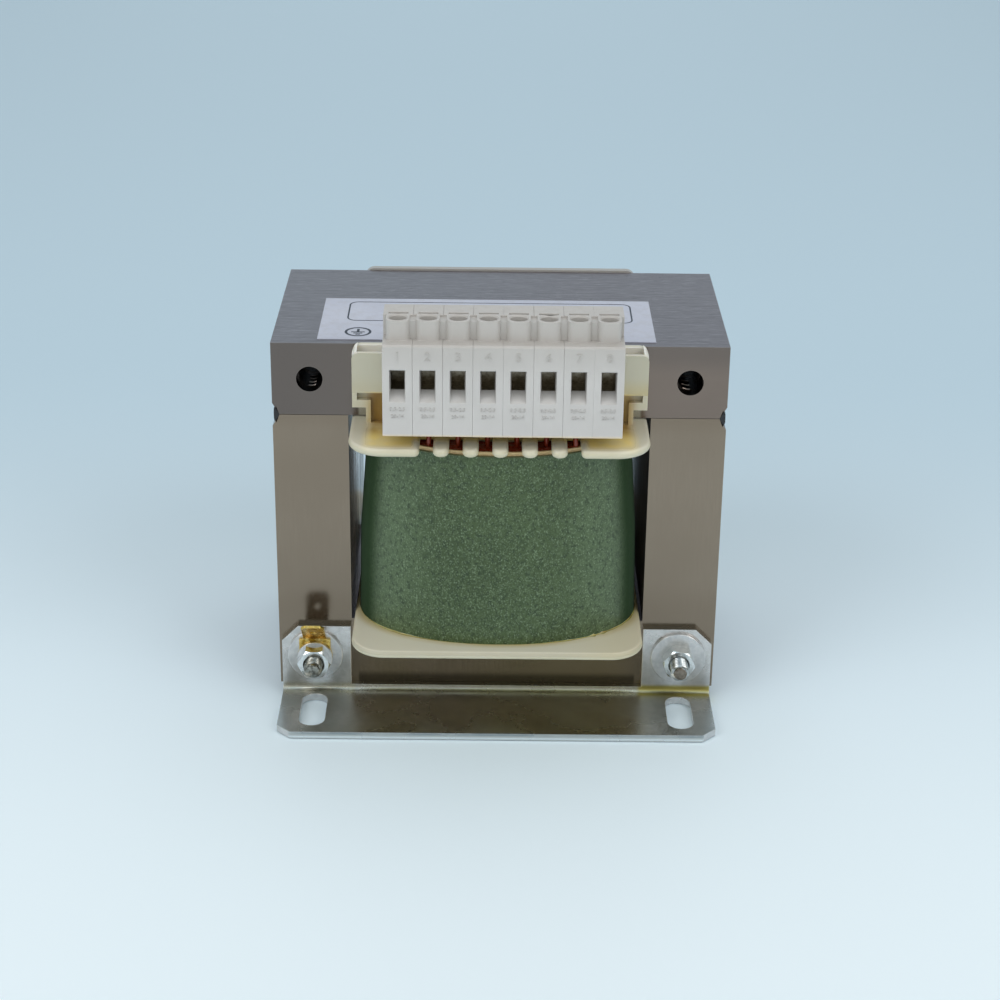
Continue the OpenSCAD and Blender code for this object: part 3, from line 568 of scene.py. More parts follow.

# bobbin: ivory moulding with varnish run into its corners and painted shade deepening it there, its paints
# placed in millimetres
bobbinSet = dict(
    rim=0.3, nose=1.04, noseRounds=5, levels=(23.3, 25.5, 80.5, 82.7), levelSlack=0.02, opening=(20.3, 31.6),
    body="d3cfb9", pale="dad7c6", shade="cac5ab", upper="d9d6c4", web="c1beaa", stain="c2b27a",
    recess="f4f2e8", dust="a1a09c", grubby="b3af9b", amber="ffe68a", amberDark="a47c2c", foot="bcaa68",
    webZ=(91.5, 93.2), rearY=(30, 31), rearZ=(100, 101.5), lowZ=(30, 26), lipZ=(98.5, 93.2), lipX=(-30, 30),
    channelFront=(-40.3, -40.0), channelBack=(-33.0, -33.4), channelZ=(94, 95),
    poolLow=(81.6, 82.6), poolHigh=(93.8, 92.8), poolX=(36.6, 32.6), poolBack=(-32.5, -33.5), poolMiddle=0.2,
    plateX=(21.8, 23.2), plateY=(-54.5, -49.5), fingerY=(-50, -44.5), inwardY=(-47.5, -37),
    slotY=(-45, -43.2), slotX=(24, 22.5), slotZ=(79.5, 80), rightX=(12, 34))


def varnishPool(tree, axes, runs):  # varnish on the plates and between the fingers; in the slots' ends the same colours are painted shade
    b = bobbinSet
    offMiddle = maths(tree, "SUBTRACT", axes["X"], b["poolMiddle"] * mm)
    aside = maths(tree, "ABSOLUTE", offMiddle)
    behind = ramp(tree, axes["Y"], b["poolBack"])
    onPlate = ramp(tree, aside, b["plateX"])
    depth = blendValue(tree, onPlate, ramp(tree, axes["Y"], b["fingerY"]), ramp(tree, axes["Y"], b["plateY"]))
    pool = zone(tree, b, poolLow=axes["Z"], poolHigh=axes["Z"], poolX=aside)
    pool = times(tree, pool, behind, depth, remap(tree, runs, 0.3, 0.6, 0.7, 1.0))
    slotEnd = zone(tree, b, slotY=axes["Y"], slotX=aside, slotZ=axes["Z"])
    return maths(tree, "MAXIMUM", pool, times(tree, slotEnd, behind))


def coilFoot(tree, axes):  # 1 beside the coil's outline, fading outwards
    c = coilSet
    wide = maths(tree, "DIVIDE", maths(tree, "ABSOLUTE", axes["X"]), c["halfX"] * mm)
    past = maths(tree, "SUBTRACT", maths(tree, "ABSOLUTE", axes["Y"]), (c["halfY"] - c["endDepth"]) * mm)
    deep = maths(tree, "DIVIDE", maths(tree, "MAXIMUM", past, 0.0), c["endDepth"] * mm)
    reach = maths(tree, "ADD", *[maths(tree, "POWER", part, c["power"]) for part in (wide, deep)])
    return remap(tree, reach, 1.22, 1.0)


def bobbinNylon():
    b = bobbinSet
    material, tree, shader = newMaterial(
        "bobbinNylon", Subsurface_Weight=0.12, Subsurface_Radius=(0.9, 0.75, 0.45), Subsurface_Scale=0.0012)
    axes, facing = placeAxes(tree), facingAxes(tree)
    fleck = useGroup(tree, fleckGroup, Scale=700.0)
    rim = useGroup(tree, edgeGroup, Width=0.0007, Breakup=300.0)["Rim"]
    cloud = noiseField(tree, 46.0, detail=5.0)
    runs = noiseField(tree, 150.0, detail=4.0, stretch=(1.0, 1.0, 0.25), shift=(0.3, 0.1, 0.0))
    lowFlange = ramp(tree, axes["Z"], b["lowZ"])
    colour = coat(tree, paint(b["body"]), b["shade"], remap(tree, cloud, 0.3, 0.7))
    colour = coat(tree, colour, b["pale"], rim, 0.6)
    # painted light: faces turned up are paler
    colour = coat(tree, colour, b["upper"], remap(tree, facing["Z"], 0.4, 0.9), 0.8)
    raised = times(tree, ramp(tree, axes["Z"], b["webZ"]), remap(tree, facing["Z"], 0.6, 0.3))
    # painted shade: the web's upright faces above the flange are greyer
    colour = coat(tree, colour, b["web"], raised)
    # dust on the rear web's edge, and painted shade on the lower flange's front nose
    rear = zone(tree, b, rearY=axes["Y"], rearZ=axes["Z"])
    colour = coat(tree, colour, b["dust"], times(tree, rear, remap(tree, facing["Y"], 0.5, 0.2)))
    edge = times(tree, remap(tree, facing["Z"], 0.93, 0.8), remap(tree, facing["Z"], -0.1, 0.1))
    edge = times(tree, edge, lowFlange, remap(tree, facing["Y"], -0.1, -0.3))
    colour = coat(tree, colour, b["grubby"], edge, 0.75)
    lip = times(tree, ramp(tree, axes["Z"], b["lipZ"]), ramp(tree, axes["X"], b["lipX"], 0.6, 0.2))
    colour = coat(tree, colour, b["stain"], times(tree, lip, raised))
    # painted light: the inside of the channel behind the lip is paler
    channel = zone(tree, b, channelFront=axes["Y"], channelBack=axes["Y"], channelZ=axes["Z"])
    colour = coat(tree, colour, b["recess"], channel, 0.9)
    # varnish: amber on the plates, and brown beside the terminals where painted shade darkens it; a thin
    # yellow rim at the coil's foot
    pool = varnishPool(tree, axes, runs)
    brown = times(tree, ramp(tree, axes["Y"], b["inwardY"]), remap(tree, runs, 0.35, 0.65, 0.6, 1.0))
    varnish = coat(tree, paint(b["amber"]), b["amberDark"], brown)
    colour = blendColour(tree, times(tree, pool, 0.9), colour, varnish)
    foot = times(tree, coilFoot(tree, axes), lowFlange, remap(tree, facing["Z"], 0.3, 0.8))
    colour = coat(tree, colour, b["foot"], times(tree, foot, remap(tree, cloud, 0.35, 0.6, 0.25, 0.75)))
    rightEnd = times(tree, ramp(tree, axes["X"], b["rightX"], 0.25), lowFlange)
    colour = coat(tree, colour, b["stain"], rightEnd)  # yellower towards the right
    wire(tree, shader, Base_Color=colour, Roughness=remap(tree, pool, 0.0, 0.8, 0.36, 0.16))
    bumpFrom(tree, shader, fleck["Fibre"], 0.00001, 0.35)
    return material


def flangeNose(edge):  # outer edges of the two flanges, which are well rounded
    b = bobbinSet
    ends = [vert.co / mm for vert in edge.verts]
    level = any(all(abs(p.z - z) < b["levelSlack"] for p in ends) for z in b["levels"])
    inTube = all(abs(p.x) < b["opening"][0] and abs(p.y) < b["opening"][1] for p in ends)
    return level and not inTube and edge.is_convex


noseRound = dict(width=bobbinSet["nose"] * mm, rounds=bobbinSet["noseRounds"], chosen=flangeNose)
softEdged("bobbin", "bobbin_moulding", bobbinSet["rim"], bobbinNylon(), "bobbin_nylon", first=noseRound)
print("bobbin dressed")


# coil: the layers that show
def signedPower(value, power):
    return math.copysign(abs(value) ** power, value)


def coilPlan(build, count):  # evenly spaced plan points at a radial build
    c = coilSet
    share = build / (c["halfX"] - c["tubeX"])
    halfX = c["tubeX"] + build
    halfY = c["tubeY"] + share * (c["halfY"] - c["tubeY"])
    straight = c["tubeY"] + share * (c["halfY"] - c["endDepth"] - c["tubeY"])
    power = 2 / c["power"]
    dense = []
    for side in (1, -1):
        for i in range(c["steps"] + 1):
            turn = math.pi * i / c["steps"]
            x = halfX * signedPower(math.cos(turn), power)
            y = straight + (halfY - straight) * signedPower(math.sin(turn), power)
            dense.append(Vector((side * x, side * y)))
    lengths = [0.0]
    for i in range(len(dense)):
        lengths.append(lengths[-1] + (dense[(i + 1) % len(dense)] - dense[i]).length)
    points, k = [], 0
    for i in range(count):
        want = lengths[-1] * i / count
        while lengths[k + 1] < want:
            k += 1
        span = lengths[k + 1] - lengths[k]
        along = 0 if span == 0 else (want - lengths[k]) / span
        points.append(dense[k].lerp(dense[(k + 1) % len(dense)], along))
    return points


def coilPoint(plan, z):  # a plan point at a height, narrowed as the coil is
    c = coilSet
    rise = (z - c["low"]) / (c["high"] - c["low"])
    upper = max(0.0, rise - c["midRise"]) / (1 - c["midRise"])
    inset = c["midInset"] * min(1.0, rise / c["midRise"]) + (c["topInset"] - c["midInset"]) * upper
    return Vector((plan.x * (1 - inset / c["halfX"]), plan.y, z)) * mm


wrapSet = dict(
    outer=15.7, inner=14.8, drop=0.8, around=220, rows=30, dip=0.16, dipRing=(6, 3.0),
    soft=0.10, dentWide=0.06, dentHigh=0.09, overlapStart=0.30, overlapEnd=0.345, overlap=0.32,
    body="364825", bodyLight="3f522e", worn="687e5e", broadLight="5a6f4c", broadDark="273b1c",
    fleckDark="1f3117", fleckLight="768b6c", soaked="0d2c05", cutEdge="5d6b4a",
    palePaper=("d8ccac", "bdae8b"), tanPaper=("f2dcb4", "e2c796"))


def greenWrap(material):
    w, c = wrapSet, coilSet
    heights = [i / w["rows"] for i in range(w["rows"] + 1)]
    rows = []
    for build, shares in ((w["outer"], heights), (w["inner"], heights[::-1])):
        plan = coilPlan(build, w["around"])
        for share in shares:
            row = []
            for k, point in enumerate(plan):
                turn = k / len(plan)
                dip = w["dip"] * (0.5 + 0.5 * ringNoise(2 * math.pi * turn, *w["dipRing"]))
                z = c["low"] + (c["high"] - w["drop"] - c["low"] - dip) * share
                place = coilPoint(point, z)
                if build == w["outer"]:
                    spot = Vector((point.x * w["dentWide"], point.y * w["dentWide"], z * w["dentHigh"]))
                    dent = 0.5 + 0.5 * noise.noise(spot)
                    lap = w["overlap"] if w["overlapStart"] < turn < w["overlapEnd"] else 0.0
                    place += Vector((point.x, point.y, 0)).normalized() * (lap - w["soft"] * dent) * mm
                row.append(place)
            rows.append(row)
    bm = bmesh.new()
    loft(bm, rows, closedAlong=True)
    mesh = finishMesh("green_wrap", bm, smoothTo=35)
    return addPiece("green_wrap", mesh, material, "green_pressboard", "outer_wrap")


def greenBoard():
    w = wrapSet
    material, tree, shader = newMaterial("greenBoard", Specular_IOR_Level=0.5)
    facing = facingAxes(tree, "Normal")
    fine = useGroup(tree, fleckGroup, Scale=2500.0, Stretch=(1.0, 1.0, 0.8))
    broad = useGroup(tree, fleckGroup, Scale=1300.0, Stretch=(1.0, 1.0, 0.8))
    turned = maths(tree, "ABSOLUTE", facing["X"])
    cloud = remap(tree, noiseField(tree, 48.0, detail=4.0), 0.3, 0.7)
    colour = coat(tree, paint(w["body"]), w["bodyLight"], cloud)
    colour = coat(tree, colour, w["worn"], remap(tree, turned, 0.2, 0.6), 0.3)  # painted sheen: paler at the sides
    colour = coat(tree, colour, w["broadLight"], broad["Light"], 0.5)
    colour = coat(tree, colour, w["broadDark"], broad["Dark"], 0.5)
    colour = coat(tree, colour, w["fleckDark"], fine["Dark"], 0.75)
    colour = coat(tree, colour, w["fleckLight"], fine["Light"], 0.8)
    soaked = remap(tree, turned, 0.66, 0.88, 0.0, 0.95)  # painted shade beside the legs
    colour = coat(tree, colour, w["soaked"], soaked)
    colour = coat(tree, colour, w["cutEdge"], remap(tree, facing["Z"], 0.4, 0.7))
    polish = maths(tree, "MAXIMUM", between(tree, fine["Fibre"], 0.3, 0.44), soaked)
    wire(tree, shader, Base_Color=colour, Roughness=polish)
    bumpFrom(tree, shader, maths(tree, "ADD", fine["Fibre"], broad["Light"]), 0.00002, 0.4)
    return material


def kraftPaper(name, light, dark):
    material, tree, shader = newMaterial(name, Specular_IOR_Level=0.25)
    fleck = useGroup(tree, fleckGroup, Scale=1500.0, Stretch=(1.0, 1.0, 3.0))
    colour = coat(tree, paint(dark), light, fleck["Light"])
    wire(tree, shader, Base_Color=colour, Roughness=between(tree, fleck["Fibre"], 0.6, 0.8))
    bumpFrom(tree, shader, fleck["Fibre"], 0.00003, 0.5)
    return material


windingSet = dict(
    inner=7.35, outer=14.0, layers=5, topTurns=3, around=150, sides=8, below=0.06, wave=0.1, waveStep=0.13,
    bulkDrop=0.6, enamel="842a14", enamelLight="9c3e1c", enamelDark="561709")


def enamelledCopper():
    w = windingSet
    material, tree, shader = newMaterial("enamelledCopper", Coat_Weight=0.4, Coat_Roughness=0.15)
    grain = useGroup(tree, grainGroup, Scale=900.0)
    colour = coat(tree, paint(w["enamel"]), w["enamelLight"], grain["Cloud"])
    colour = coat(tree, colour, w["enamelDark"], grain["Grain"], 0.35)
    wire(
        tree, shader, Base_Color=colour, Metallic=between(tree, grain["Grain"], 0.15, 0.35),
        Roughness=between(tree, grain["Grain"], 0.22, 0.36))
    return material


def tapWinding(material):  # the top turns as wire, the rest as one bulk below them
    w, c = windingSet, coilSet
    step = (w["outer"] - w["inner"]) / w["layers"]
    radius = step / 2
    bm = bmesh.new()
    for layer in range(w["layers"]):
        plan = coilPlan(w["inner"] + step * (layer + 0.5), w["around"])
        for turn in range(w["topTurns"]):
            z = c["high"] - radius - w["below"] - turn * 2 * radius
            waves = [w["wave"] * math.sin(w["waveStep"] * k + layer) for k in range(len(plan))]
            path = [coilPoint(p, z - wave) for p, wave in zip(plan, waves)]
            sweepTube(bm, path, radius * mm, w["sides"], closed=True)
    top = c["high"] - (2 * w["topTurns"] - w["bulkDrop"]) * radius
    outer, inner = coilPlan(w["outer"], w["around"]), coilPlan(w["inner"], w["around"])
    section = ((outer, c["low"]), (outer, top), (inner, top), (inner, c["low"]))
    loft(bm, [[coilPoint(p, z) for p in plan] for plan, z in section], closedAlong=True)
    mesh = finishMesh("tap_winding_turns", bm, smoothTo=60)
    return addPiece("tap_winding_turns", mesh, material, "enamelled_copper", "tap_winding")


copper = enamelledCopper()
greenWrap(greenBoard())
tapWinding(copper)
dress("main_winding", copper)
dress("interlayer_paper", kraftPaper("palePaper", *wrapSet["palePaper"]))
dress("inner_wrap", kraftPaper("tanPaper", *wrapSet["tanPaper"]))
print("coil wound and wrapped")


# tap leads: each leaves its turn sideways and rises through its slot
terminalCount = 8
leadSet = dict(
    radius=0.7, y=-44.8, low=79.65, high=88.6, bend=0.9, bendSteps=8, sweep=4.0, sweepBack=0.4,
    first=2, last=7, pitch=7.6, shift=0.7, sides=10)


def tapLead(number, material):
    s = leadSet
    x = s["shift"] + (number - (terminalCount + 1) / 2) * s["pitch"]
    lean = -1 if number % 2 else 1
    path = [Vector((x + lean * s["sweep"], s["y"] + s["sweepBack"], s["low"]))]
    for i in range(s["bendSteps"] + 1):
        turn = math.pi / 2 * i / s["bendSteps"]
        out, rise = s["bend"] * (1 - math.sin(turn)), s["bend"] * (1 - math.cos(turn))
        path.append(Vector((x + lean * out, s["y"], s["low"] + rise)))
    path.append(Vector((x, s["y"], s["high"])))
    bm = bmesh.new()
    sweepTube(bm, [p * mm for p in path], s["radius"] * mm, s["sides"])
    node = f"tap_lead_{number}"
    mesh = finishMesh(f"{node}_wire", bm, smoothTo=50)
    return addPiece(f"{node}_wire", mesh, material, "enamelled_copper", node)


for number in range(leadSet["first"], leadSet["last"] + 1):
    tapLead(number, copper)
print("tap leads bent up")


# resin that has crept out along the coil's foot
resinSet = dict(
    z=coilSet["low"], under=0.12, clear=0.02, high=0.4, wide=0.5, around=420, steps=5, least=0.22, usual=0.55,
    broad=0.75, broadRing=(3, 1.7), fine=0.5, fineRing=(11, 4.2), lean=0.7,
    drops=((25.6, 1.3), (28.4, 1.0)), dropWide=0.45, light="b5a765", dark="8d7d3c")


def resinFillet(material):
    r = resinSet
    plan = coilPlan(wrapSet["outer"] - r["under"], r["around"])
    rows = []
    for k, point in enumerate(plan):
        turn = 2 * math.pi * k / len(plan)
        broad, fine = ringNoise(turn, *r["broadRing"]), ringNoise(turn, *r["fineRing"])
        swell = max(r["least"], r["usual"] + r["broad"] * broad + r["fine"] * max(0.0, fine))
        for dropX, grow in r["drops"] if point.y < 0 else ():  # two drops at the right of the front
            swell += grow * math.exp(-((point.x - dropX) / r["dropWide"]) ** 2)
        away = Vector((point.x, point.y * r["lean"], 0)).normalized()
        base = coilPoint(point, r["z"]) + Vector((0, 0, r["clear"])) * mm
        row = [base]
        for i in range(r["steps"] + 1):
            a = math.pi / 2 * i / r["steps"]
            out = r["wide"] * swell * (1 - math.cos(a))
            rise = r["high"] * swell * (1 - math.sin(a))
            row.append(base + (away * out + Vector((0, 0, rise))) * mm)
        rows.append(row)
    bm = bmesh.new()
    loft(bm, rows, closedAlong=True)
    return addPiece("coil_resin", finishMesh("coil_resin", bm, smoothTo=60), material, "bobbin_nylon")


def amberResin():
    material, tree, shader = newMaterial(
        "amberResin", Coat_Weight=0.6, Subsurface_Weight=0.3, Subsurface_Scale=0.001)
    cloud = noiseField(tree, 260.0, detail=4.0)
    colour = coat(tree, paint(resinSet["light"]), resinSet["dark"], remap(tree, cloud, 0.3, 0.7))
    wire(tree, shader, Base_Color=colour, Roughness=remap(tree, cloud, 0.3, 0.7, 0.1, 0.25))
    return material


resinFillet(amberResin())
print("resin run along the coil's foot")


# terminals: housings with raised pole figures, clamps and screws
terminalSet = dict(
    rim=0.15, face=-55.0, grow=1.011, raised=0.2, figure=3.3, figureZ=108.0,
    marks=((94.0, "0.5-2.5"), (92.1, "20-14")), mark=1.45,
    funnel=5.9, funnelY=-48.5, ledge=111.05, ribBack=1.5, ribEnd=2.05, ribTop=115.9, ribTuck=0.05,
    screwRim=0.12, topZ=(100, 113), mouthLow=(92.5, 93.2), mouthHigh=(104.5, 104.0), mouthY=(-54.8, -51.5),
    footZ=(87.4, 86.8), dirt="66625c", varnish="e6cfa0",
    white=("c0bebb", "c5c3c0", "ceccca", "aeaaa3"), greyed=("b8b5b2", "bdbab7", "d0cecb", "a6a29a"),
    clamp=("a3998a", "7d7364", "61584a", 0.3), screw=("d0d1d1", "b4b5b6", "a09e97", 0.22))


def terminalPlastic(name, body, light, pale, grime):
    t = terminalSet
    material, tree, shader = newMaterial(
        name, Subsurface_Weight=0.06, Subsurface_Radius=(0.8, 0.8, 0.75), Subsurface_Scale=0.0008)
    axes = placeAxes(tree)
    fleck = useGroup(tree, fleckGroup, Scale=1100.0)
    rim = useGroup(tree, edgeGroup, Width=0.0004, Breakup=400.0)["Rim"]
    dust = useGroup(tree, dustGroup, Amount=0.35, Scale=420.0)["Film"]
    colour = coat(tree, paint(body), light, remap(tree, noiseField(tree, 70.0, detail=4.0), 0.3, 0.7))
    colour = coat(tree, colour, pale, rim, 0.5)
    colour = coat(tree, colour, grime, dust)
    colour = coat(tree, colour, grime, ramp(tree, axes["Z"], t["topZ"]), 0.45)  # duller towards the top
    pole = maths(tree, "SUBTRACT", axes["X"], leadSet["shift"] * mm)
    pole = maths(tree, "FRACT", maths(tree, "DIVIDE", pole, leadSet["pitch"] * mm))
    aside = maths(tree, "ABSOLUTE", maths(tree, "SUBTRACT", pole, 0.5))
    mouth = zone(tree, t, mouthLow=axes["Z"], mouthHigh=axes["Z"], mouthY=axes["Y"])
    mouth = times(tree, mouth, remap(tree, aside, 0.40, 0.34))
    colour = coat(tree, colour, t["dirt"], mouth, 0.75)  # painted shade in the wire openings
    colour = coat(tree, colour, t["varnish"], ramp(tree, axes["Z"], t["footZ"]), 0.5)  # along the foot
    wire(tree, shader, Base_Color=colour, Roughness=between(tree, fleck["Fibre"], 0.36, 0.46))
    bumpFrom(tree, shader, fleck["Fibre"], 0.000008, 0.4)
    return material


def plainMetal(name, light, dark, stain, rough, scale=1200.0):
    material, tree, shader = newMaterial(name, Metallic=1.0)
    grain = useGroup(tree, grainGroup, Scale=scale)
    rim = useGroup(tree, edgeGroup, Width=0.0003, Breakup=900.0)["Rim"]
    line = useGroup(tree, scratchGroup, Scale=120.0)["Line"]
    colour = coat(tree, paint(dark), light, grain["Grain"])
    colour = coat(tree, colour, stain, grain["Cloud"], 0.4)
    colour = coat(tree, colour, light, rim, 0.4)
    wire(tree, shader, Base_Color=colour, Roughness=between(tree, grain["Cloud"], rough, rough + 0.14))
    bumpFrom(tree, shader, maths(tree, "SUBTRACT", grain["Grain"], line), 0.000012, 0.35)
    return material


def figureMesh(name, body, size, depth):
    curve = bpy.data.curves.new(name, "FONT")
    curve.body = body
    curve.size = size
    curve.extrude = depth
    curve.align_x, curve.align_y = "CENTER", "CENTER"
    curve.resolution_u = 4
    holder = bpy.data.objects.new(name, curve)
    scene.collection.objects.link(holder)
    mesh = bpy.data.meshes.new_from_object(holder.evaluated_get(bpy.context.evaluated_depsgraph_get()))
    bpy.data.objects.remove(holder)
    return mesh


def raisedFigure(number, x, material):
    t = terminalSet
    name = f"terminal_{number}_figure"
    bm = bmesh.new()
    lines = [(t["figureZ"], str(number), t["figure"])]
    lines += [(z, body, t["mark"]) for z, body in t["marks"]]
    for z, body, size in lines:
        mesh = figureMesh(name, body, size * mm, t["raised"] * mm)
        for vert in mesh.vertices:  # stands the figure up on the housing's front
            vert.co = Vector((x + vert.co.x, t["face"] * mm - vert.co.z, z * mm + vert.co.y))
        bm.from_mesh(mesh)
        bpy.data.meshes.remove(mesh)
    return addPiece(name, finishMesh(name, bm, smoothTo=30), material, "terminal_plastic")


def funnelRibs(material):  # low wall in the gap between each two screw funnels
    t = terminalSet
    half = (leadSet["pitch"] - t["funnel"]) / 2 + t["ribTuck"]
    ends = (t["funnelY"] - t["funnel"] / 2 + t["ribBack"], t["funnelY"] + t["ribEnd"])
    corners = ((-half, t["ledge"]), (half, t["ledge"]), (half, t["ribTop"]), (-half, t["ribTop"]))
    bm = bmesh.new()
    for gap in range(1, terminalCount):
        x = leadSet["shift"] + (gap - terminalCount / 2) * leadSet["pitch"]
        cappedLoft(bm, [[Vector((x + dx, y, z)) * mm for dx, z in corners] for y in ends])
    roundEdges(bm, t["rim"] * mm, meshSet["rounds"])
    mesh = finishMesh("terminal_ribs", bm, meshSet["smooth"])
    return addPiece("terminal_ribs", mesh, material, "terminal_plastic")


whitePlastic = terminalPlastic("terminalPlastic", *terminalSet["white"])
greyedPlastic = terminalPlastic("figurePlastic", *terminalSet["greyed"])  # the raised figures hold some grime
clampMetal = plainMetal("clampMetal", *terminalSet["clamp"])
screwMetal = plainMetal("screwSteel", *terminalSet["screw"])
for number in range(1, terminalCount + 1):
    pole = f"terminal_{number}"
    housing = f"{pole}_housing"
    low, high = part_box(housing)
    middle = (low.x + high.x) / 2
    body = softEdged(housing, f"{pole}_body", terminalSet["rim"], whitePlastic, "terminal_plastic")
    for vert in body.data.vertices:  # neighbours touch, with only a fine groove between them
        vert.co.x = middle + (vert.co.x - middle) * terminalSet["grow"]
    raisedFigure(number, middle, greyedPlastic)
    softEdged(f"{pole}_screw", f"{pole}_clamp_screw", terminalSet["screwRim"], screwMetal, "screw_steel")
    dress(f"{pole}_clamp", clampMetal)
funnelRibs(whitePlastic)
print("terminals dressed:", terminalCount)


# brackets: plated sheet, yellowed where it was bent; masks in millimetres
bracketSet = dict(
    rim=0.28, light="e1dddb", dark="cfccca", blue="c5c7c9", yellow="c2b04a", olive="dbdbb8", spot="b8b8b1",
    dull="8c908c", crease="a59da0", shear="c4c6c4", shearLight="eceff0", shearDark="949da2",
    bendY=(36.2, 35.0), bendZ=(4.6, 3.4), sideX=(-50, 45), earX=(38.5, 40.2), oliveX=(46, 30), dullX=(34, 46),
    shearY=(57.0, 57.3), tornZ=(1.1, 1.5), rolledLow=(0.2, 0.4), rolledHigh=(1.0, 0.7))


def zincSheet():
    b = bracketSet
    material, tree, shader = newMaterial("zincSheet", Metallic=1.0)
    axes, facing = placeAxes(tree), facingAxes(tree)
    apart, depth = maths(tree, "ABSOLUTE", axes["X"]), maths(tree, "ABSOLUTE", axes["Y"])
    grain = useGroup(tree, grainGroup, Scale=420.0)
    fleck = useGroup(tree, fleckGroup, Scale=1500.0)
    line = useGroup(tree, scratchGroup, Scale=55.0)["Line"]
    rim = useGroup(tree, edgeGroup, Width=0.0005, Breakup=600.0)["Rim"]
    cloud = noiseField(tree, 60.0, detail=5.0)
    patch = noiseField(tree, 24.0, detail=2.0, shift=(0.2, 0.0, 0.4))
    colour = coat(tree, paint(b["dark"]), b["light"], grain["Grain"])
    colour = coat(tree, colour, b["blue"], remap(tree, cloud, 0.45, 0.7), 0.5)
    colour = coat(tree, colour, b["spot"], fleck["Dark"], 0.25)
    # the bend is yellow under the ears, with a little painted shade in the crease between them
    bend = zone(tree, b, bendY=depth, bendZ=axes["Z"])
    underEar = ramp(tree, apart, b["earX"])
    yellow = times(
        tree, bend, ramp(tree, axes["X"], b["sideX"], 1.0, 0.25), remap(tree, cloud, 0.3, 0.5, 0.5, 1.0),
        between(tree, underEar, 0.2, 0.85))
    colour = coat(tree, colour, b["yellow"], yellow)
    colour = coat(tree, colour, b["crease"], times(tree, bend, between(tree, underEar, 0.15, 0.0)))
    # olive on the foot's top, strongest in the middle: partly a zinc tint, partly a painted reflection of the
    # core
    olive = times(
        tree, remap(tree, patch, 0.35, 0.6, 0.4, 1.0), remap(tree, facing["Z"], 0.3, 0.7),
        ramp(tree, apart, b["oliveX"], 0.8, 0.15))
    colour = coat(tree, colour, b["olive"], olive)
    dull = times(
        tree, remap(tree, facing["Z"], 0.5, 0.9), remap(tree, cloud, 0.3, 0.7, 0.45, 0.75),
        ramp(tree, apart, b["dullX"], 1.0, 0.3))
    colour = coat(tree, colour, b["dull"], dull)  # the foot's top
    # the sheared edge has a rolled band below a torn one
    shear = ramp(tree, depth, b["shearY"])
    colour = coat(tree, colour, b["shear"], shear, 0.9)
    torn = times(tree, shear, ramp(tree, axes["Z"], b["tornZ"]), remap(tree, cloud, 0.35, 0.6, 0.2, 0.8))
    colour = coat(tree, colour, b["shearDark"], torn)
    rolled = times(tree, shear, zone(tree, b, rolledLow=axes["Z"], rolledHigh=axes["Z"]))
    colour = coat(tree, colour, b["shearLight"], rolled, 0.8)
    colour = coat(tree, colour, b["light"], rim, 0.5)
    wire(tree, shader, Base_Color=colour, Roughness=remap(tree, cloud, 0.3, 0.7, 0.2, 0.36))
    relief = maths(tree, "ADD", grain["Grain"], fleck["Fibre"])
    bumpFrom(tree, shader, maths(tree, "SUBTRACT", relief, times(tree, line, 0.4)), 0.00001, 0.35)
    return material


platedSheet = zincSheet()
for end in ("front", "rear"):
    softEdged(f"{end}_bracket", f"{end}_bracket_sheet", bracketSet["rim"], platedSheet, "zinc_sheet")
print("brackets dressed")


# bolts: hexagon head behind, real thread in front
boltSet = dict(
    x=coreSet["holeX"], z=coreSet["lowHole"], radius=2.5, root=2.12, pitch=0.8, flank=1.5, rootFlat=0.2,
    across=8.0, headTop=37.95, headFoot=34.45, headChamfer=0.5, headTip=0.9,
    threadStart=-28.0, threadEnd=-42.7, runOut=0.4, shoulder=0.12, fillet=0.1,
    tip=-43.55, tipRadius=1.75, tipChamfer=0.2,
    sides=28, rowsPerTurn=8, nutRim=0.14, washerRim=0.2, lockRim=0.15,
    bright=("f2f3f3", "dcdfe0", "c8cbc8", 0.1), satin=("e7e3e1", "d1cfce", "c5c7c9", 0.25, 700.0),
    dull=("b4b3ab", "5c5b55", "7a786e", 0.2, 1600.0), plated=("dadcdc", "a4a6a6", "84867f", 0.1),
    sawn=("9c948b", "6e675f", "7f7262", 0.3))


def threadRadius(share, angle):
    b = boltSet
    turn = (share + angle / (2 * math.pi)) % 1.0
    ramped = min(1.0, max(0.0, abs(2 * turn - 1) * b["flank"] - b["rootFlat"]))
    return b["root"] + (b["radius"] - b["root"]) * ramped


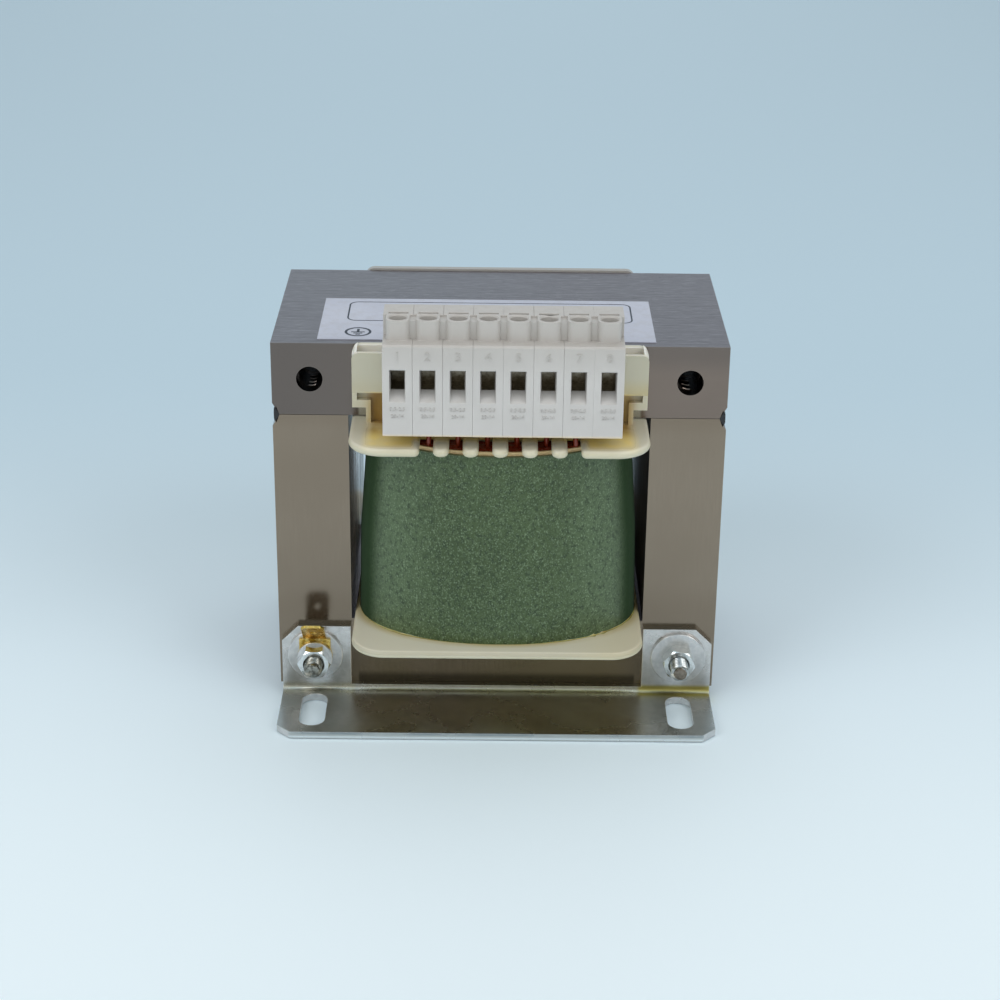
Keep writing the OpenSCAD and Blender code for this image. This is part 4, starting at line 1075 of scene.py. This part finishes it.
def coreBolt(name, side, node, *materials):
    b = boltSet

    def ring(y, radii):
        points = []
        for k, radius in enumerate(radii):
            a = 2 * math.pi * k / len(radii)
            out, rise = radius * math.cos(a), radius * math.sin(a)
            points.append(Vector((side * b["x"] + out, y, b["z"] + rise)) * mm)
        return points

    def plain(y, radius, sides=b["sides"]):
        return ring(y, [radius] * sides)

    shank = (b["headFoot"] + b["headChamfer"], b["threadStart"] + b["runOut"])
    rows = [plain(y, b["radius"]) for y in shank]
    angles = [2 * math.pi * k / b["sides"] for k in range(b["sides"])]
    count = int((b["threadStart"] - b["threadEnd"]) / b["pitch"] * b["rowsPerTurn"])
    for i in range(count + 1):
        share = i / b["rowsPerTurn"]
        rows.append(ring(b["threadStart"] - share * b["pitch"], [threadRadius(share, a) for a in angles]))
    shoulder = b["threadEnd"] - b["shoulder"]
    rows.append(plain(shoulder, b["root"]))
    rows.append(plain(shoulder - b["fillet"], b["tipRadius"] + b["shoulder"]))
    rows.append(plain(b["tip"] + b["shoulder"], b["tipRadius"]))
    rows.append(plain(b["tip"], b["tipRadius"] - b["tipChamfer"]))
    bm = bmesh.new()
    cappedLoft(bm, rows)
    corner = b["across"] / math.sqrt(3)
    head = ((b["headFoot"], 1.0), (b["headTop"] - b["headChamfer"], 1.0), (b["headTop"], b["headTip"]))
    cappedLoft(bm, [plain(y, corner * grow, 6) for y, grow in head])
    bolt = addPiece(name, finishMesh(name, bm, smoothTo=42), materials[0], "zinc_hardware", node)
    bolt.data.materials.append(materials[1])
    return bolt


brightZinc = plainMetal("brightZinc", *boltSet["bright"])
satinZinc = plainMetal("satinZinc", *boltSet["satin"])
dullZinc = plainMetal("dullZinc", *boltSet["dull"])
boltZinc = plainMetal("boltZinc", *boltSet["plated"])
tipZinc = plainMetal("tipZinc", *boltSet["sawn"])
leftBolt = coreBolt("left_core_bolt", -1, "left_bolt", dullZinc, brightZinc)
for face in leftBolt.data.polygons:  # only the end in front is dull
    face.material_index = 1 if face.center.y > 0 else 0
rightBolt = coreBolt("right_core_bolt", 1, "right_bolt", boltZinc, tipZinc)
for face in rightBolt.data.polygons:  # the sawn end has lost its plating
    face.material_index = 1 if face.center.y < (boltSet["tip"] + boltSet["fillet"]) * mm else 0
for side in ("left", "right"):
    softEdged(f"{side}_nut", f"{side}_hex_nut", boltSet["nutRim"], brightZinc, "zinc_hardware")
    for end in ("front", "rear"):
        node, name = f"{side}_{end}_washer", f"{side}_{end}_plain_washer"
        softEdged(node, name, boltSet["washerRim"], satinZinc, "zinc_hardware")
softEdged("earth_lock_washer", "earth_lock_ring", boltSet["lockRim"], satinZinc, "zinc_hardware")
print("bolts threaded, nuts and washers dressed")


# earth tab: brass blade under the left nut
tabSet = dict(rim=0.1, dark="d2ac52", light="e2c478", blotch="a07a2a", edge="f2e09c", tarnish="a8a298")


def tabBrass():
    s = tabSet
    material, tree, shader = newMaterial("tabBrass", Metallic=1.0)
    grain = useGroup(tree, grainGroup, Scale=900.0, Stretch=(1.0, 0.15, 1.0))
    rim = useGroup(tree, edgeGroup, Width=0.0003, Breakup=900.0)["Rim"]
    blotch = noiseField(tree, 420.0, detail=4.0)
    colour = coat(tree, paint(s["dark"]), s["light"], grain["Grain"])
    colour = coat(tree, colour, s["blotch"], remap(tree, blotch, 0.52, 0.64))
    colour = coat(tree, colour, s["edge"], rim, 0.6)
    colour = coat(tree, colour, s["tarnish"], remap(tree, facingAxes(tree)["Y"], 0.1, 0.4), 0.85)  # painted shade on the faces turned back
    wire(tree, shader, Base_Color=colour, Roughness=remap(tree, blotch, 0.4, 0.6, 0.2, 0.36))
    bumpFrom(tree, shader, grain["Grain"], 0.00001, 0.4)
    return material


softEdged("earth_tab", "earth_tab_blade", tabSet["rim"], tabBrass(), "tab_brass")
print("earth tab dressed")


# label: pale film with a line frame, an earth sign and a tap drawing
labelSet = dict(
    top=103.155, ink=0.02, frameX=(-41.0, 35.4), frameY=(-13.2, 2.3), frameR=2.4,
    line=0.42, bold=0.7, thin=0.4, earth=(-37.6, -22.4), earthR=3.2, earthSteps=40,
    stem=2.2, bars=(3.6, 2.4, 1.2), barTop=-0.1, barStep=0.95, barLine=0.55,
    coilY=-9.3, coilX=-29.0, coilStep=7.6, bulge=3.2, arcSteps=12, tick=(0.2, -2.2),
    figure=2.6, figureDrop=3.2, film="b5bac9", filmLight="bdc2d0", dust="a8a8ac",
    inkDark="2b303c", inkWorn="5b6170")


def labelFilm():
    s = labelSet
    material, tree, shader = newMaterial("labelFilm", Specular_IOR_Level=0.4)
    fleck = useGroup(tree, fleckGroup, Scale=900.0)
    dust = useGroup(tree, dustGroup, Amount=0.25, Scale=500.0)["Film"]
    cloud = remap(tree, noiseField(tree, 50.0, detail=3.0), 0.3, 0.7)
    colour = coat(tree, paint(s["film"]), s["filmLight"], cloud)
    colour = coat(tree, colour, s["dust"], dust)
    wire(tree, shader, Base_Color=colour, Roughness=between(tree, fleck["Fibre"], 0.34, 0.46))
    bumpFrom(tree, shader, fleck["Fibre"], 0.000008, 0.3)
    return material


def labelInk():
    material, tree, shader = newMaterial("labelInk", Specular_IOR_Level=0.3)
    fleck = useGroup(tree, fleckGroup, Scale=2600.0)
    colour = coat(tree, paint(labelSet["inkDark"]), labelSet["inkWorn"], fleck["Light"], 0.5)
    wire(tree, shader, Base_Color=colour, Roughness=between(tree, fleck["Fibre"], 0.4, 0.55))
    return material


def band(bm, outer, inner, closed=True):  # flat printed line between two outlines
    s = labelSet
    rows = []
    for loop, height in ((outer, 0), (outer, 1), (inner, 1), (inner, 0)):
        rows.append([Vector((p.x, p.y, s["top"] + height * s["ink"])) * mm for p in loop])
    made = loft(bm, rows, closedAcross=closed, closedAlong=True)
    if not closed:
        for end in (0, -1):
            bm.faces.new([row[end] for row in made])


def roundedFrame(xs, ys, radius, steps=8):
    points = []
    corners = ((xs[1], ys[1], 0), (xs[0], ys[1], 1), (xs[0], ys[0], 2), (xs[1], ys[0], 3))
    for x, y, quarter in corners:
        cx = x - math.copysign(radius, x - (xs[0] + xs[1]) / 2)
        cy = y - math.copysign(radius, y - (ys[0] + ys[1]) / 2)
        for i in range(steps + 1):
            a = math.pi / 2 * (quarter + i / steps)
            points.append(Vector((cx + radius * math.cos(a), cy + radius * math.sin(a))))
    return points


def stroke(bm, places, width):  # open printed line
    points = [Vector(p) for p in places]
    left, right = [], []
    for i, p in enumerate(points):
        ahead, behind = points[min(i + 1, len(points) - 1)], points[max(i - 1, 0)]
        along = (ahead - behind).normalized()
        across = Vector((-along.y, along.x)) * width / 2
        left.append(p + across)
        right.append(p - across)
    band(bm, left, right, closed=False)


def printFrame(bm):
    s = labelSet
    loops = []
    for by in (s["line"] / 2, -s["line"] / 2):
        xs = (s["frameX"][0] - by, s["frameX"][1] + by)
        ys = (s["frameY"][0] - by, s["frameY"][1] + by)
        loops.append(roundedFrame(xs, ys, s["frameR"] + by))
    band(bm, *loops)


def printEarthSign(bm):
    s = labelSet
    x, y = s["earth"]
    half = s["bold"] / 2
    band(bm, *[circlePoints(x, y, s["earthR"] + by, s["earthSteps"]) for by in (half, -half)])
    stroke(bm, [(x, y + s["stem"]), (x, y + s["barTop"])], s["bold"])
    for k, width in enumerate(s["bars"]):
        barY = y + s["barTop"] - s["barStep"] * k
        stroke(bm, [(x - width / 2, barY), (x + width / 2, barY)], s["barLine"])


def printTaps(bm):  # half turns in a row, with a numbered tick at each end
    s = labelSet
    for k in range(terminalCount - 1):
        arc = []
        for i in range(s["arcSteps"] + 1):
            a = math.pi * i / s["arcSteps"]
            x = s["coilX"] + s["coilStep"] * (k + (1 - math.cos(a)) / 2)
            arc.append((x, s["coilY"] + s["bulge"] * math.sin(a)))
        stroke(bm, arc, s["thin"])
    for k in range(terminalCount):
        x = s["coilX"] + k * s["coilStep"]
        stroke(bm, [(x, s["coilY"] + rise) for rise in s["tick"]], s["thin"])
        mesh = figureMesh("tapFigure", str(k + 1), s["figure"] * mm, s["ink"] / 2 * mm)
        for vert in mesh.vertices:
            vert.co += Vector((x, s["frameY"][0] - s["figureDrop"], s["top"] + s["ink"] / 2)) * mm
        bm.from_mesh(mesh)
        bpy.data.meshes.remove(mesh)


dress("label", labelFilm())
printed = bmesh.new()
printFrame(printed)
printEarthSign(printed)
printTaps(printed)
addPiece("label_print", finishMesh("label_print", printed, smoothTo=0), labelInk(), "label_film")
print("label printed")


# floor, world and lamps
stageSet = dict(
    floorFront="e9f8ff", floorBack="c2dbe9", floorNear="bccbd3", floorReach=1300, floorZ=-0.2,
    backY=(-180, 250), nearY=(-400, -800), sky="c8dbe6", room="979b92",
    roomY=(0.05, -0.25), roomZ=(0.7, 0.45), light=0.37, aim=(0, 0, 0.05))


def floorMaterial():
    s = stageSet
    material, tree, shader = newMaterial("paleFloor", Roughness=0.9, Specular_IOR_Level=0.1)
    along = placeAxes(tree)["Y"]
    colour = coat(tree, paint(s["floorFront"]), s["floorBack"], ramp(tree, along, s["backY"]))
    colour = coat(tree, colour, s["floorNear"], ramp(tree, along, s["nearY"]))  # painted shade below the front lamps
    wire(tree, shader, Base_Color=colour)
    return material


bm = bmesh.new()
reach, floorZ = stageSet["floorReach"], stageSet["floorZ"]
corners = ((-reach, -reach), (reach, -reach), (reach, reach), (-reach, reach))
bm.faces.new([bm.verts.new(Vector((x, y, floorZ)) * mm) for x, y in corners])
floorMesh = finishMesh("floor", bm, smoothTo=0)
floorMesh.materials.append(floorMaterial())
floor = bpy.data.objects.new("floor", floorMesh)
scene.collection.objects.link(floor)
floor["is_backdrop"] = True

world = bpy.data.worlds.new("studio")
scene.world = world
world.use_nodes = True
tree = world.node_tree
lit = tree.nodes["Background"]
lit.inputs["Color"].default_value = (1.0, 1.0, 1.0, 1.0)
lit.inputs["Strength"].default_value = stageSet["light"]
rays = addNode(tree, "ShaderNodeLightPath").outputs
sphere = addNode(tree, "ShaderNodeTexCoord").outputs["Generated"]
towards = addNode(tree, "ShaderNodeSeparateXYZ", {0: sphere}).outputs
unlit = times(
    tree, remap(tree, towards["Y"], *stageSet["roomY"]), remap(tree, towards["Z"], *stageSet["roomZ"]),
    rays["Is Glossy Ray"])  # the room in front is darker
backdrop = coat(tree, paint(stageSet["sky"]), stageSet["room"], unlit)
seen = addNode(tree, "ShaderNodeBackground", {"Color": backdrop, "Strength": 1.0})
mirrored = maths(tree, "MAXIMUM", rays["Is Glossy Ray"], rays["Is Transmission Ray"])
shown = maths(tree, "MAXIMUM", rays["Is Camera Ray"], mirrored)
both = addNode(tree, "ShaderNodeMixShader", {0: shown, 1: lit.outputs[0], 2: seen.outputs[0]})
tree.links.new(both.outputs[0], tree.nodes["World Output"].inputs["Surface"])

lampSet = dict(
    left=dict(place=(-0.85, -0.75, 0.85), size=0.9, power=6.0, mirrored=True),
    right=dict(place=(0.85, -0.75, 0.85), size=0.9, power=5.4, mirrored=True),
    front=dict(place=(0.0, -1.35, 0.45), size=1.0, power=2.6, mirrored=False),
    top=dict(place=(0.1, 0.3, 1.35), size=1.1, power=3.6, mirrored=True),
    back=dict(place=(0.0, 1.3, 0.7), size=1.0, power=2.4, mirrored=False))
for name, lamp in lampSet.items():
    light = bpy.data.lights.new(name, "AREA")
    light.shape = "SQUARE"
    light.size = lamp["size"]
    light.energy = lamp["power"]
    lightObject = bpy.data.objects.new(name, light)
    lightObject.location = lamp["place"]
    lightObject.visible_glossy = lamp["mirrored"]
    aim = Vector(stageSet["aim"]) - Vector(lamp["place"])
    lightObject.rotation_euler = aim.to_track_quat("-Z", "Y").to_euler()
    scene.collection.objects.link(lightObject)
print("stage lit")

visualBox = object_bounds()
for title, box in (("cad box", cadBox), ("visual box", visualBox)):
    print(title, [round(v, 5) for p in box for v in p])
